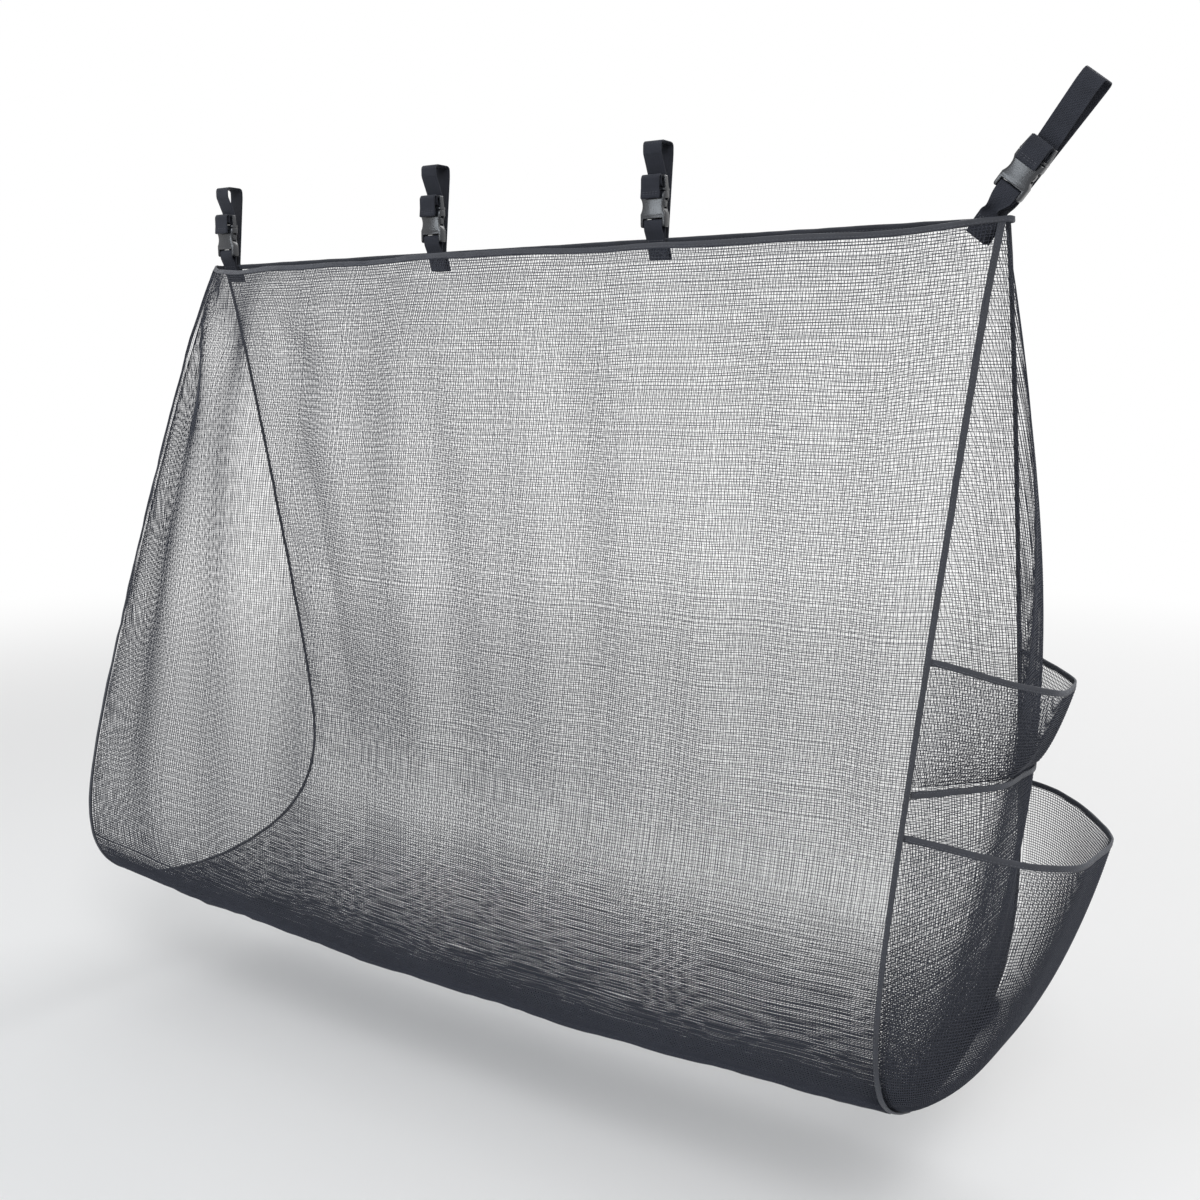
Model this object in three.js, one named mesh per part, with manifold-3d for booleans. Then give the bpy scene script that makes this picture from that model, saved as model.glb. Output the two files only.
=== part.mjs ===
// A large hanging mesh storage bag with two end pockets, hung from a rail by four buckled straps.
// Millimetres, +Z up. The origin is on the rail's top, midway along the bag: the straps' seats are at z = 0.
// +X points to the end with the pockets, and -Y to the front.
import * as THREE from "three";
import { mergeVertices } from "three/addons/utils/BufferGeometryUtils.js";
import Module from "manifold-3d";

const wasm = await Module();
wasm.setup();

// Bag
const BAG_HEIGHT = 900; // back hem to the base
const TOP_WIDTH = 1172; // corner to corner along the back hem
const END_FLARE = 4; // each end seam stands out this much past its top corner
const FRONT_SWELL = 345; // reach of the end profile in front of the hem, before the base rounds it off
const BACK_SWELL = 190; // the same behind the hem
const PROFILE_TAPER = 0.85; // 1 would make the end profile a straight-sided wedge
const BASE_SQUARENESS = 12; // higher makes the base corners tighter
const MOUTH_OPENING = 170; // how far the front hem stands forward at mid-width
const MOUTH_ROUNDNESS = 0.75;
const MOUTH_FADE = 1.3; // how fast that opening dies out down the front
const CORNER_GAP = 9; // between the two hems at a top corner
const HEM_SAG = 22; // the front hem hangs lower than its corners
const HEM_FLATNESS = 6;
const BASE_SAG = 22;
const END_BULGE = 60;
const BASE_SEAM_DEPTH = 0.962; // share of the height at which the base seam crosses the front
const END_PANEL_FOOT = 0.97; // station at which an end panel stops, just above the base
const CLOTH = 1.2;
const NET_COLUMN_COUNT = 8; // columns in the plain grid of openings that the front and back nets have
const FRONT_ROW_COUNT = 7; // its rows on the front
const BACK_ROW_COUNT = 10; // its rows on the base and the back
const NET_BAR_SHARE = 0.2; // a bar's share of the pitch from one opening to the next
const PANEL_EASING_SHARE = 0.25; // 0 would space a net's bars evenly, more draws them closer towards its ends

// Binding tape
const TAPE_WIDTH = 10;
const END_TAPE_WIDTH = 7; // along the end seams
const TAPE_THICKNESS = 3.2;
const CLEARANCE = 0.3;
const EDGE_GAP = 0.6; // cloth edge to the tape that binds it

// End pockets, placed as shares of the way from the back hem down to the base
const UPPER_POCKET_TOP_SHARE = 0.5;
const UPPER_POCKET_BOTTOM_SHARE = 0.618;
const UPPER_POCKET_DEPTH = 36;
const LOWER_POCKET_TOP_SHARE = 0.676;
const LOWER_POCKET_BOTTOM_SHARE = 0.978;
const LOWER_POCKET_DEPTH = 90;
const POCKET_HEM_SAG = 24;
const POCKET_CORNER_LIFT = 20; // a hem's front end is this much higher than its middle, its back end lower
const POCKET_MARGIN = 0.98; // share of the end panel's width that a pocket takes
const POCKET_STAND_OFF = 0.9; // pocket cloth to end panel along the sewn edges
const POCKET_SEAM_DROP = 4; // the tape over the upper pocket's bottom seam starts this far below it

// Straps
const WEBBING_WIDTH = 25;
const WEBBING_THICKNESS = 1.6;
const RAIL_DEPTH = 25;
const RAIL_RISE = 108; // the rail's top above the back hem
const CORNER_INSET = 20; // outer straps stand this far in from the hem's ends
const INNER_STRAP_X = 170; // inner straps, each side of the middle
const LEANING_RISE = 160; // length of the leaning strap, hem to seat
const LEANING_LIFT = 30; // its longer tab holds the buckle higher
const LEAN = THREE.MathUtils.degToRad(38);
const SEWN_LENGTH = 24;
const SEW_GAP = 1.4; // between webbing and binding tape
const LAYER_GAP = 0.4;
const WRAP_SLACK = 0.9; // webbing stands off the corners of the bars it turns round
const SEAT_RADIUS = 5; // webbing's turn at the rail's edges
const RUN_RADIUS = 14; // its easier bends
const BEND_SHARE = 0.48; // of each straight beside a bend, at most
const BEND_STEP_COUNT = 3;
const FRONT_RUN_SHARE = 0.96; // of the way from plug to seat that the slack front run takes
const TAIL_LENGTH = 26;
const TAIL_STAND_OFF = 6;

// Side-release buckle, measured from the centre of the socket's webbing bar
const BUCKLE_FORWARD = 7; // bar in front of the hem
const BUCKLE_LIFT = 14; // bar above the hem
const BODY_WIDTH = 34;
const BODY_THICKNESS = 11;
const BODY_ROUNDING = 1.4;
const WAIST_PINCH = 5.5; // control depth of the finger hollows
const SOCKET_MOUTH = 38;
const CAVITY_FLOOR = 13;
const CAVITY_WIDTH = 26.4;
const CAVITY_THICKNESS = 6.2;
const WINDOW_BOTTOM = 18.4;
const WINDOW_TOP = 30.4;
const BAR_THICKNESS = 4;
const BAR_HEIGHT = 4.4;
const SLOT_HEIGHT = 5.6;
const SLOT_PLAY = 0.7; // slot wider than webbing, each side
const PLUG_LENGTH = 18;
const PLUG_THICKNESS = 6;
const PLUG_TOP_INSET = 1.5;
const FLANGE_LENGTH = 3.6;
const LADDER_SLOT = 3.8;
const LADDER_BAR = 3.2;
const GUIDE_WIDTH = 6;
const GUIDE_LENGTH = 17;
const PRONG_THICKNESS = 5.4;
const PRONG_PIVOT_X = 8.6;
const PRONG_ROOT_RADIUS = 2.3;
const PRONG_LENGTH = 21.6; // pivot to tip
const PRONG_ARM = 4.2;
const PAD_REACH = 15.2; // finger pad's outer face from the middle
const PAD_PLAY = 1; // pad to the window's ends
const PAD_SLOPE = 0.4;
const PAD_SHOULDER = 1.8;
const TIP_TAPER = 1;
const TIP_ROUNDING = 1.5;
const NOTCH_SIDES = 16;

const mesh = new THREE.MeshStandardMaterial({ color: 0x2b2c33, roughness: 0.85, metalness: 0 });
const tape = new THREE.MeshStandardMaterial({ color: 0x17181d, roughness: 0.7, metalness: 0 });
const webbing = new THREE.MeshStandardMaterial({ color: 0x14151a, roughness: 0.75, metalness: 0 });
const plastic = new THREE.MeshStandardMaterial({ color: 0x0d0e11, roughness: 0.3, metalness: 0 });

function part(name, geometry, material) {
  const made = new THREE.Mesh(geometry, material);
  made.name = name;
  return made;
}

// Closed solids: joining and cutting

function solid(geometry) {
  const bare = geometry.clone();
  bare.deleteAttribute("normal");
  bare.deleteAttribute("uv");
  const merged = mergeVertices(bare, 1e-4);
  return new wasm.Manifold(
    new wasm.Mesh({
      numProp: 3,
      vertProperties: merged.attributes.position.array,
      triVerts: new Uint32Array(merged.index.array),
    }),
  );
}

function geometryOf(manifold) {
  const { vertProperties, triVerts } = manifold.getMesh();
  const geometry = new THREE.BufferGeometry();
  geometry.setAttribute("position", new THREE.BufferAttribute(vertProperties, 3));
  geometry.setIndex(new THREE.BufferAttribute(triVerts, 1));
  geometry.computeVertexNormals();
  return geometry;
}

function block([xLow, xHigh], [yLow, yHigh], [zLow, zHigh]) {
  const box = new THREE.BoxGeometry(xHigh - xLow, yHigh - yLow, zHigh - zLow);
  return box.translate((xLow + xHigh) / 2, (yLow + yHigh) / 2, (zLow + zHigh) / 2);
}

// A flat outline in X and Z, given thickness along Y about y = 0.
function plate(shape, thickness, rounding = 0) {
  const geometry = new THREE.ExtrudeGeometry(shape, {
    depth: thickness - 2 * rounding,
    bevelEnabled: rounding > 0,
    bevelSize: rounding,
    bevelOffset: -rounding,
    bevelThickness: rounding,
    bevelSegments: 2,
    curveSegments: 6,
  });
  geometry.translate(0, 0, rounding - thickness / 2);
  return geometry.rotateX(Math.PI / 2);
}

// A sheet of cloth: a grid of points on its middle, thickened along its own normals. Open cells are left out.
function sheet(grid, thickness, isOpen = () => false) {
  const rows = grid.length;
  const columns = grid[0].length;
  const along = new THREE.Vector3();
  const across = new THREE.Vector3();
  const normal = new THREE.Vector3();
  const corners = [[], []];
  const at = (i, j) => grid[THREE.MathUtils.clamp(i, 0, rows - 1)][THREE.MathUtils.clamp(j, 0, columns - 1)];
  for (let i = 0; i < rows; i++) {
    for (let j = 0; j < columns; j++) {
      along.subVectors(at(i + 1, j), at(i - 1, j));
      across.subVectors(at(i, j + 1), at(i, j - 1));
      normal.crossVectors(along, across).setLength(thickness / 2);
      corners[0].push(...at(i, j).clone().add(normal));
      corners[1].push(...at(i, j).clone().sub(normal));
    }
  }
  const layer = rows * columns;
  const index = [];
  const quad = (a, b, c, d) => index.push(a, b, c, a, c, d);
  const spot = (i, j) => i * columns + j;
  const wall = (ring) =>
    ring.forEach((corner, k) => {
      const next = ring[(k + 1) % ring.length];
      quad(corner, next, next + layer, corner + layer);
    });
  for (let i = 0; i + 1 < rows; i++) {
    for (let j = 0; j + 1 < columns; j++) {
      const cell = [spot(i, j), spot(i + 1, j), spot(i + 1, j + 1), spot(i, j + 1)];
      if (isOpen(i, j)) {
        wall(cell);
      } else {
        quad(...cell);
        quad(...cell.reverse().map((corner) => corner + layer));
      }
    }
  }
  const rim = [];
  for (let j = 0; j + 1 < columns; j++) rim.push(spot(0, j));
  for (let i = 0; i + 1 < rows; i++) rim.push(spot(i, columns - 1));
  for (let j = columns - 1; j > 0; j--) rim.push(spot(rows - 1, j));
  for (let i = rows - 1; i > 0; i--) rim.push(spot(i, 0));
  wall(rim);
  const geometry = new THREE.BufferGeometry();
  geometry.setAttribute("position", new THREE.Float32BufferAttribute(corners.flat(), 3));
  geometry.setIndex(index);
  geometry.computeVertexNormals();
  return geometry;
}

function steps(from, to, count) {
  return Array.from({ length: count + 1 }, (_, k) => from + ((to - from) * k) / count);
}

// The bag's surface. A station runs from 0 at the front hem, by 1 at the base, to 2 at the back hem.

const profileHalf = (FRONT_SWELL + BACK_SWELL) / 2;
const profileShift = (FRONT_SWELL - BACK_SWELL) / 2;
const depthAt = (station) => station * (2 - station);
const frontStation = (drop) => 1 - Math.sqrt(1 - drop / BAG_HEIGHT);
const backStation = (drop) => 2 - frontStation(drop);
const seamX = (depth) => TOP_WIDTH / 2 + END_FLARE * (1 - (1 - depth) ** 3);

function profileY(station) {
  const depth = depthAt(station);
  const side = Math.sign(station - 1) * profileHalf * Math.sqrt(1 - depth ** BASE_SQUARENESS);
  return (side - profileShift) * depth ** PROFILE_TAPER;
}

// share runs from -1 at the left end seam to 1 at the right one.
function bagPoint(share, station, inset = 0) {
  const depth = depthAt(station);
  const rise = 1 - depth;
  const x = share * (seamX(depth) - inset);
  const spread = Math.min(1, Math.abs(x / seamX(depth)));
  let y = profileY(station);
  let z = -BAG_HEIGHT * depth - BASE_SAG * (1 - spread ** 2) * depth ** 2;
  if (station < 1) {
    const opening = MOUTH_OPENING * (1 - spread ** 2) ** MOUTH_ROUNDNESS;
    y -= opening * rise ** MOUTH_FADE + CORNER_GAP * rise ** 2;
    z -= HEM_SAG * (1 - spread ** HEM_FLATNESS) * rise ** 2;
  }
  return new THREE.Vector3(x, y, z);
}

const NUDGE = 1e-3; // step in station for slopes

// Moves a station along the middle profile by a length of cloth.
function stationAfter(station, length) {
  const rate = bagPoint(0, station + NUDGE).distanceTo(bagPoint(0, station - NUDGE)) / (2 * NUDGE);
  return station + length / rate;
}

const hemStation = frontStation(TAPE_WIDTH);
const belowHem = frontStation(TAPE_WIDTH + EDGE_GAP);
const baseSeam = frontStation(BASE_SEAM_DEPTH * BAG_HEIGHT);
const baseSeamEdges = [stationAfter(baseSeam, -TAPE_WIDTH / 2), stationAfter(baseSeam, TAPE_WIDTH / 2)];
const sideInset = END_TAPE_WIDTH + EDGE_GAP;

// Shares across a width, closer together towards its ends.
const eased = (share) => Math.sin((share * Math.PI) / 2);
const easedShares = (count) => steps(-1, 1, count).map(eased);

// Edges of a net's bars from 0 to 1: a bar, an opening and so on, with a bar at each end.
function barEdges(openings) {
  const pitch = 1 / (openings + NET_BAR_SHARE);
  return steps(0, openings, openings).flatMap((k) => [pitch * k, pitch * (k + NET_BAR_SHARE)]);
}

const bodyShares = barEdges(NET_COLUMN_COUNT).map((edge) => {
  const share = 2 * edge - 1;
  return THREE.MathUtils.lerp(share, eased(share), PANEL_EASING_SHARE);
});

// Stations at shares of the length of cloth from one station to another, down the middle of the bag.
function stationsAt(fromStation, toStation, shares) {
  const fine = steps(fromStation, toStation, 200);
  const walked = [0];
  for (let k = 1; k < fine.length; k++) {
    walked.push(walked[k - 1] + bagPoint(0, fine[k]).distanceTo(bagPoint(0, fine[k - 1])));
  }
  return shares.map((share) => {
    const length = share * walked.at(-1);
    const k = Math.max(1, walked.findLastIndex((before) => before < length) + 1);
    const within = (length - walked[k - 1]) / (walked[k] - walked[k - 1]);
    return THREE.MathUtils.lerp(fine[k - 1], fine[k], within);
  });
}

function netPanel(fromStation, toStation, openingsDown) {
  const grid = stationsAt(fromStation, toStation, barEdges(openingsDown)).map((station) =>
    bodyShares.map((share) => bagPoint(share, station, sideInset)),
  );
  return sheet(grid, CLOTH, (i, j) => i % 2 === 1 && j % 2 === 1);
}

function crossTape(stations, inset) {
  const grid = stations.map((station) => bodyShares.map((share) => bagPoint(share, station, inset)));
  return sheet(grid, TAPE_THICKNESS);
}

function endTape(side) {
  const rows = 40;
  const grid = steps(belowHem, 2 - belowHem, rows).map((station) => {
    const outer = bagPoint(side, station);
    const inner = bagPoint(side, station, END_TAPE_WIDTH);
    return [inner, outer];
  });
  return sheet(grid, TAPE_THICKNESS);
}

// A point of an end panel: across runs from -1 at the front seam to 1 at the back one.
const panelTuck = TAPE_THICKNESS / 2 + CLEARANCE + CLOTH / 2;

function tucked(station) {
  const before = bagPoint(1, station - NUDGE);
  const after = bagPoint(1, station + NUDGE);
  const heading = new THREE.Vector2(after.y - before.y, after.z - before.z).normalize();
  const here = bagPoint(1, station);
  return new THREE.Vector2(here.y - heading.y * panelTuck, here.z + heading.x * panelTuck);
}

function endPoint(side, across, station, standOff = 0) {
  const front = tucked(station);
  const back = tucked(2 - station);
  const depth = depthAt(station);
  const bulge = END_BULGE * (1 - across ** 2) * Math.sin(Math.PI * depth);
  const blend = (1 + across) / 2;
  const x = seamX(depth) - END_TAPE_WIDTH / 2 + bulge + standOff;
  return new THREE.Vector3(
    side * x,
    THREE.MathUtils.lerp(front.x, back.x, blend),
    THREE.MathUtils.lerp(front.y, back.y, blend),
  );
}

function endPanel(side) {
  const rows = 18;
  const columns = 12;
  const grid = steps(belowHem, END_PANEL_FOOT, rows).map((station) =>
    steps(-1, 1, columns).map((across) => endPoint(side, across, station)),
  );
  return sheet(grid, CLOTH);
}

// Pockets on the right end panel

const seatGap = CLOTH + POCKET_STAND_OFF;

function pocketPoint(pocket, across, height, lift = 0) {
  const crown = 1 - Math.abs(across) ** pocket.boxiness;
  const slant = THREE.MathUtils.lerp(pocket.bottomSlant, 1, height);
  const droop = POCKET_HEM_SAG * crown * height + POCKET_CORNER_LIFT * across * slant;
  const drop = THREE.MathUtils.lerp(pocket.bottom, pocket.top, height) + droop - lift;
  const swell = pocket.swell * Math.sqrt(crown) * height ** pocket.fullness;
  return endPoint(1, across * POCKET_MARGIN, frontStation(drop), seatGap + swell);
}

function pocketPanel(pocket) {
  const rows = 8;
  const columns = 14;
  const grid = steps(0, 1, rows).map((height) =>
    easedShares(columns).map((across) => pocketPoint(pocket, across, height)),
  );
  return sheet(grid, CLOTH);
}

function pocketHem(pocket) {
  const columns = 20;
  const lifts = [CLEARANCE + CLOTH / 2, CLEARANCE + CLOTH / 2 + TAPE_WIDTH];
  const grid = lifts.map((lift) =>
    easedShares(columns).map((across) => pocketPoint(pocket, across, 1, lift)),
  );
  return sheet(grid, CLOTH * 2);
}

function pocketSeam(pocket) {
  const columns = 20;
  const drops = [pocket.bottom + POCKET_SEAM_DROP, pocket.bottom + POCKET_SEAM_DROP + TAPE_WIDTH];
  const grid = drops.map((drop) =>
    steps(-1, 1, columns).map((across) => {
      const station = frontStation(drop + POCKET_CORNER_LIFT * across * pocket.bottomSlant);
      return endPoint(1, across * POCKET_MARGIN, station, seatGap);
    }),
  );
  return sheet(grid, CLOTH);
}

const upperPocket = {
  top: UPPER_POCKET_TOP_SHARE * BAG_HEIGHT,
  bottom: UPPER_POCKET_BOTTOM_SHARE * BAG_HEIGHT,
  swell: UPPER_POCKET_DEPTH,
  boxiness: 2,
  fullness: 0.7,
  bottomSlant: 0.9, // of the hem's slant
};
const lowerPocket = {
  top: LOWER_POCKET_TOP_SHARE * BAG_HEIGHT,
  bottom: LOWER_POCKET_BOTTOM_SHARE * BAG_HEIGHT,
  swell: LOWER_POCKET_DEPTH,
  boxiness: 3,
  fullness: 0.32,
  bottomSlant: 0,
};

function bag() {
  const group = new THREE.Group();
  const frontFoot = stationAfter(baseSeamEdges[0], -EDGE_GAP);
  const backFoot = stationAfter(baseSeamEdges[1], EDGE_GAP);
  group.add(
    part("front_panel", netPanel(belowHem, frontFoot, FRONT_ROW_COUNT), mesh),
    part("back_panel", netPanel(backFoot, 2 - belowHem, BACK_ROW_COUNT), mesh),
    part("left_end_panel", endPanel(-1), mesh),
    part("right_end_panel", endPanel(1), mesh),
    part("front_hem_binding", crossTape([0, hemStation], 0), tape),
    part("back_hem_binding", crossTape([2, 2 - hemStation], 0), tape),
    part("base_seam_binding", crossTape(baseSeamEdges, sideInset), tape),
    part("left_end_binding", endTape(-1), tape),
    part("right_end_binding", endTape(1), tape),
    part("upper_pocket", pocketPanel(upperPocket), mesh),
    part("upper_pocket_hem", pocketHem(upperPocket), tape),
    part("upper_pocket_seam", pocketSeam(upperPocket), tape),
    part("lower_pocket", pocketPanel(lowerPocket), mesh),
    part("lower_pocket_hem", pocketHem(lowerPocket), tape),
  );
  group.position.z = -RAIL_RISE;
  return group;
}

// Webbing, as a path in Y and Z with rounded corners, given thickness and then width along X

function roundedPath(corners) {
  const points = [corners[0].spot];
  for (let k = 1; k + 1 < corners.length; k++) {
    const { spot, radius } = corners[k];
    const back = corners[k - 1].spot.clone().sub(spot);
    const ahead = corners[k + 1].spot.clone().sub(spot);
    const halfTurn = back.angleTo(ahead) / 2;
    const room = Math.min(back.length(), ahead.length()) * BEND_SHARE;
    const reach = Math.min(radius / Math.tan(halfTurn), room);
    const start = spot.clone().add(back.setLength(reach));
    const end = spot.clone().add(ahead.setLength(reach));
    points.push(...new THREE.QuadraticBezierCurve(start, spot, end).getPoints(BEND_STEP_COUNT));
  }
  points.push(corners.at(-1).spot);
  return points;
}

function band(points, thickness, width) {
  const sides = [[], []];
  points.forEach((point, k) => {
    const before = points[Math.max(k - 1, 0)];
    const after = points[Math.min(k + 1, points.length - 1)];
    const heading = after.clone().sub(before).normalize();
    const normal = new THREE.Vector2(-heading.y, heading.x).multiplyScalar(thickness / 2);
    sides[0].push(point.clone().add(normal));
    sides[1].unshift(point.clone().sub(normal));
  });
  const outline = new THREE.Shape([...sides[0], ...sides[1]]);
  const geometry = new THREE.ExtrudeGeometry(outline, { depth: width, bevelEnabled: false });
  geometry.translate(0, 0, -width / 2);
  const toStrap = new THREE.Matrix4().makeBasis(
    new THREE.Vector3(0, 1, 0),
    new THREE.Vector3(0, 0, 1),
    new THREE.Vector3(1, 0, 0),
  );
  return geometry.applyMatrix4(toStrap);
}

const bend = (y, z, radius = RUN_RADIUS) => ({ spot: new THREE.Vector2(y, z), radius });
const halfWeb = WEBBING_THICKNESS / 2;
const sewOffset = TAPE_THICKNESS / 2 + SEW_GAP + halfWeb;
// How far back the cloth lies under a strap, at a length along it below the hem.
// side is 1 for its deeper edge, which a layer behind the cloth must clear, and -1 for its shallower edge.
function clothY(along, lean, side) {
  const drop = along * Math.cos(lean) + ((side * WEBBING_WIDTH) / 2) * Math.sin(lean);
  return profileY(backStation(Math.max(drop, 0)));
}

const wrapOffset = CLEARANCE + WRAP_SLACK + halfWeb;
const barWrap = BAR_THICKNESS / 2 + wrapOffset;

function tabGeometry({ lean, lift }) {
  const barTop = lift + BAR_HEIGHT / 2 + wrapOffset;
  const barFoot = lift - BAR_HEIGHT;
  const behind = -sewOffset;
  const before = behind - WEBBING_THICKNESS - LAYER_GAP;
  const corners = [
    bend(clothY(SEWN_LENGTH, lean, -1) + behind, -SEWN_LENGTH),
    bend(clothY(SEWN_LENGTH / 2, lean, -1) + behind, -SEWN_LENGTH / 2),
    bend(behind, 0),
    bend(barWrap - BUCKLE_FORWARD, barFoot),
    bend(barWrap - BUCKLE_FORWARD, barTop, barWrap),
    bend(-barWrap - BUCKLE_FORWARD, barTop, barWrap),
    bend(-barWrap - BUCKLE_FORWARD, barFoot),
    bend(before, 0),
    bend(clothY(SEWN_LENGTH / 2, lean, -1) + before, -SEWN_LENGTH / 2),
    bend(clothY(SEWN_LENGTH, lean, -1) + before, -SEWN_LENGTH),
  ];
  return band(roundedPath(corners), WEBBING_THICKNESS, WEBBING_WIDTH);
}

// Where the strap meets the plug's bars
const plugTop = SOCKET_MOUTH + CLEARANCE + PLUG_LENGTH;
const plugWrap = PLUG_THICKNESS / 2 + wrapOffset;
const seatHalf = RAIL_DEPTH / 2 + CLEARANCE + halfWeb;

function strapStops({ rise, lift }) {
  const entry = new THREE.Vector2(plugWrap - BUCKLE_FORWARD, lift + plugTop + halfWeb);
  const shoulder = new THREE.Vector2(-seatHalf, rise - RAIL_DEPTH / 2);
  return { entry, shoulder, split: entry.clone().lerp(shoulder, FRONT_RUN_SHARE) };
}

function loopGeometry(hang) {
  const { rise, lean } = hang;
  const { shoulder, split } = strapStops(hang);
  const seat = rise + halfWeb;
  const corners = [
    { spot: split },
    { spot: shoulder, radius: RUN_RADIUS },
    bend(-seatHalf, seat, SEAT_RADIUS),
    bend(seatHalf, seat, SEAT_RADIUS),
    bend(seatHalf, rise - RAIL_DEPTH / 2),
    bend(clothY(0, lean, 1) + sewOffset, 0),
    bend(clothY(SEWN_LENGTH / 2, lean, 1) + sewOffset, -SEWN_LENGTH / 2),
    bend(clothY(SEWN_LENGTH, lean, 1) + sewOffset, -SEWN_LENGTH),
  ];
  return band(roundedPath(corners), WEBBING_THICKNESS, WEBBING_WIDTH);
}

function frontRunGeometry(hang) {
  const { entry, split } = strapStops(hang);
  const gap = split.clone().sub(entry).setLength(EDGE_GAP);
  return band([entry.clone().add(gap), split.clone().sub(gap)], WEBBING_THICKNESS, WEBBING_WIDTH);
}

// The strap's end goes down behind the plug's bars, forward under the inner bar, up in front and hangs over.
const innerBarFoot = SOCKET_MOUTH + CLEARANCE + FLANGE_LENGTH + LADDER_SLOT;

function tailGeometry(hang) {
  const { entry } = strapStops(hang);
  const turnUnder = hang.lift + innerBarFoot - wrapOffset;
  const front = -plugWrap - BUCKLE_FORWARD;
  const droop = front - TAIL_STAND_OFF;
  const crest = hang.lift + plugTop;
  const corners = [
    { spot: entry },
    bend(entry.x, turnUnder, plugWrap),
    bend(front, turnUnder, plugWrap),
    bend(front, crest, plugWrap),
    bend(droop, crest, plugWrap),
    bend(droop, crest - TAIL_LENGTH),
  ];
  return band(roundedPath(corners), WEBBING_THICKNESS, WEBBING_WIDTH);
}

// Buckle halves

const halfBody = BODY_WIDTH / 2;
const slotHalf = WEBBING_WIDTH / 2 + SLOT_PLAY;
const halfThick = BODY_THICKNESS / 2;
const beyond = 1; // cuts run this far past the faces they open

function socketGeometry() {
  const foot = -BAR_HEIGHT / 2;
  const waistFoot = CAVITY_FLOOR;
  const waistHead = SOCKET_MOUTH - CAVITY_FLOOR / 2;
  const waist = (waistFoot + waistHead) / 2;
  const outline = new THREE.Shape();
  outline.moveTo(-halfBody + BAR_HEIGHT / 2, foot);
  outline.lineTo(halfBody - BAR_HEIGHT / 2, foot);
  outline.quadraticCurveTo(halfBody, foot, halfBody, -foot);
  outline.lineTo(halfBody, waistFoot);
  outline.quadraticCurveTo(halfBody - WAIST_PINCH, waist, halfBody, waistHead);
  outline.lineTo(halfBody, SOCKET_MOUTH);
  outline.lineTo(-halfBody, SOCKET_MOUTH);
  outline.lineTo(-halfBody, waistHead);
  outline.quadraticCurveTo(-halfBody + WAIST_PINCH, waist, -halfBody, waistFoot);
  outline.lineTo(-halfBody, -foot);
  outline.quadraticCurveTo(-halfBody, foot, -halfBody + BAR_HEIGHT / 2, foot);
  let body = solid(plate(outline, BODY_THICKNESS, BODY_ROUNDING));
  const across = [-slotHalf, slotHalf];
  const cavityY = [-CAVITY_THICKNESS / 2, CAVITY_THICKNESS / 2];
  const cuts = [
    block(across, [-halfThick - beyond, halfThick + beyond], [BAR_HEIGHT / 2, BAR_HEIGHT / 2 + SLOT_HEIGHT]),
    block(across, [BAR_THICKNESS / 2, halfThick + beyond], [foot - beyond, BAR_HEIGHT]),
    block(across, [-halfThick - beyond, -BAR_THICKNESS / 2], [foot - beyond, BAR_HEIGHT]),
    block([-CAVITY_WIDTH / 2, CAVITY_WIDTH / 2], cavityY, [CAVITY_FLOOR, SOCKET_MOUTH + beyond]),
    block([-halfBody - beyond, halfBody + beyond], cavityY, [WINDOW_BOTTOM, WINDOW_TOP]),
  ];
  cuts.forEach((cut) => {
    body = body.subtract(solid(cut));
  });
  return geometryOf(body);
}

const plugFoot = SOCKET_MOUTH + CLEARANCE;
const pivotZ = plugFoot + PRONG_ROOT_RADIUS / 2;

function plugGeometry() {
  const topHalf = halfBody - PLUG_TOP_INSET;
  const outline = new THREE.Shape();
  outline.moveTo(-halfBody, plugFoot);
  outline.lineTo(halfBody, plugFoot);
  outline.lineTo(halfBody, plugFoot + FLANGE_LENGTH);
  outline.lineTo(topHalf, plugTop - LADDER_BAR / 2);
  outline.quadraticCurveTo(topHalf, plugTop, topHalf - LADDER_BAR / 2, plugTop);
  outline.lineTo(-topHalf + LADDER_BAR / 2, plugTop);
  outline.quadraticCurveTo(-topHalf, plugTop, -topHalf, plugTop - LADDER_BAR / 2);
  outline.lineTo(-halfBody, plugFoot + FLANGE_LENGTH);
  const flange = new THREE.Shape();
  flange.moveTo(-halfBody, plugFoot);
  flange.lineTo(halfBody, plugFoot);
  flange.lineTo(halfBody, plugFoot + FLANGE_LENGTH);
  flange.lineTo(-halfBody, plugFoot + FLANGE_LENGTH);
  const guide = new THREE.Shape();
  guide.moveTo(-GUIDE_WIDTH / 2, plugFoot + FLANGE_LENGTH / 2);
  guide.lineTo(-GUIDE_WIDTH / 3, plugFoot - GUIDE_LENGTH);
  guide.lineTo(GUIDE_WIDTH / 3, plugFoot - GUIDE_LENGTH);
  guide.lineTo(GUIDE_WIDTH / 2, plugFoot + FLANGE_LENGTH / 2);
  let body = solid(plate(outline, PLUG_THICKNESS))
    .add(solid(plate(flange, BODY_THICKNESS, BODY_ROUNDING)))
    .add(solid(plate(guide, PRONG_THICKNESS)));
  const innerSlot = plugFoot + FLANGE_LENGTH;
  const outerSlot = innerSlot + LADDER_SLOT + LADDER_BAR;
  [innerSlot, outerSlot].forEach((slot) => {
    const through = [-halfThick - beyond, halfThick + beyond];
    body = body.subtract(solid(block([-slotHalf, slotHalf], through, [slot, slot + LADDER_SLOT])));
  });
  [-1, 1].forEach((side) => {
    const notch = new THREE.CylinderGeometry(
      PRONG_ROOT_RADIUS + CLEARANCE,
      PRONG_ROOT_RADIUS + CLEARANCE,
      PRONG_THICKNESS + 2 * CLEARANCE,
      NOTCH_SIDES,
    );
    notch.translate(side * PRONG_PIVOT_X, 0, pivotZ);
    body = body.subtract(solid(notch));
  });
  return geometryOf(body);
}

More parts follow.
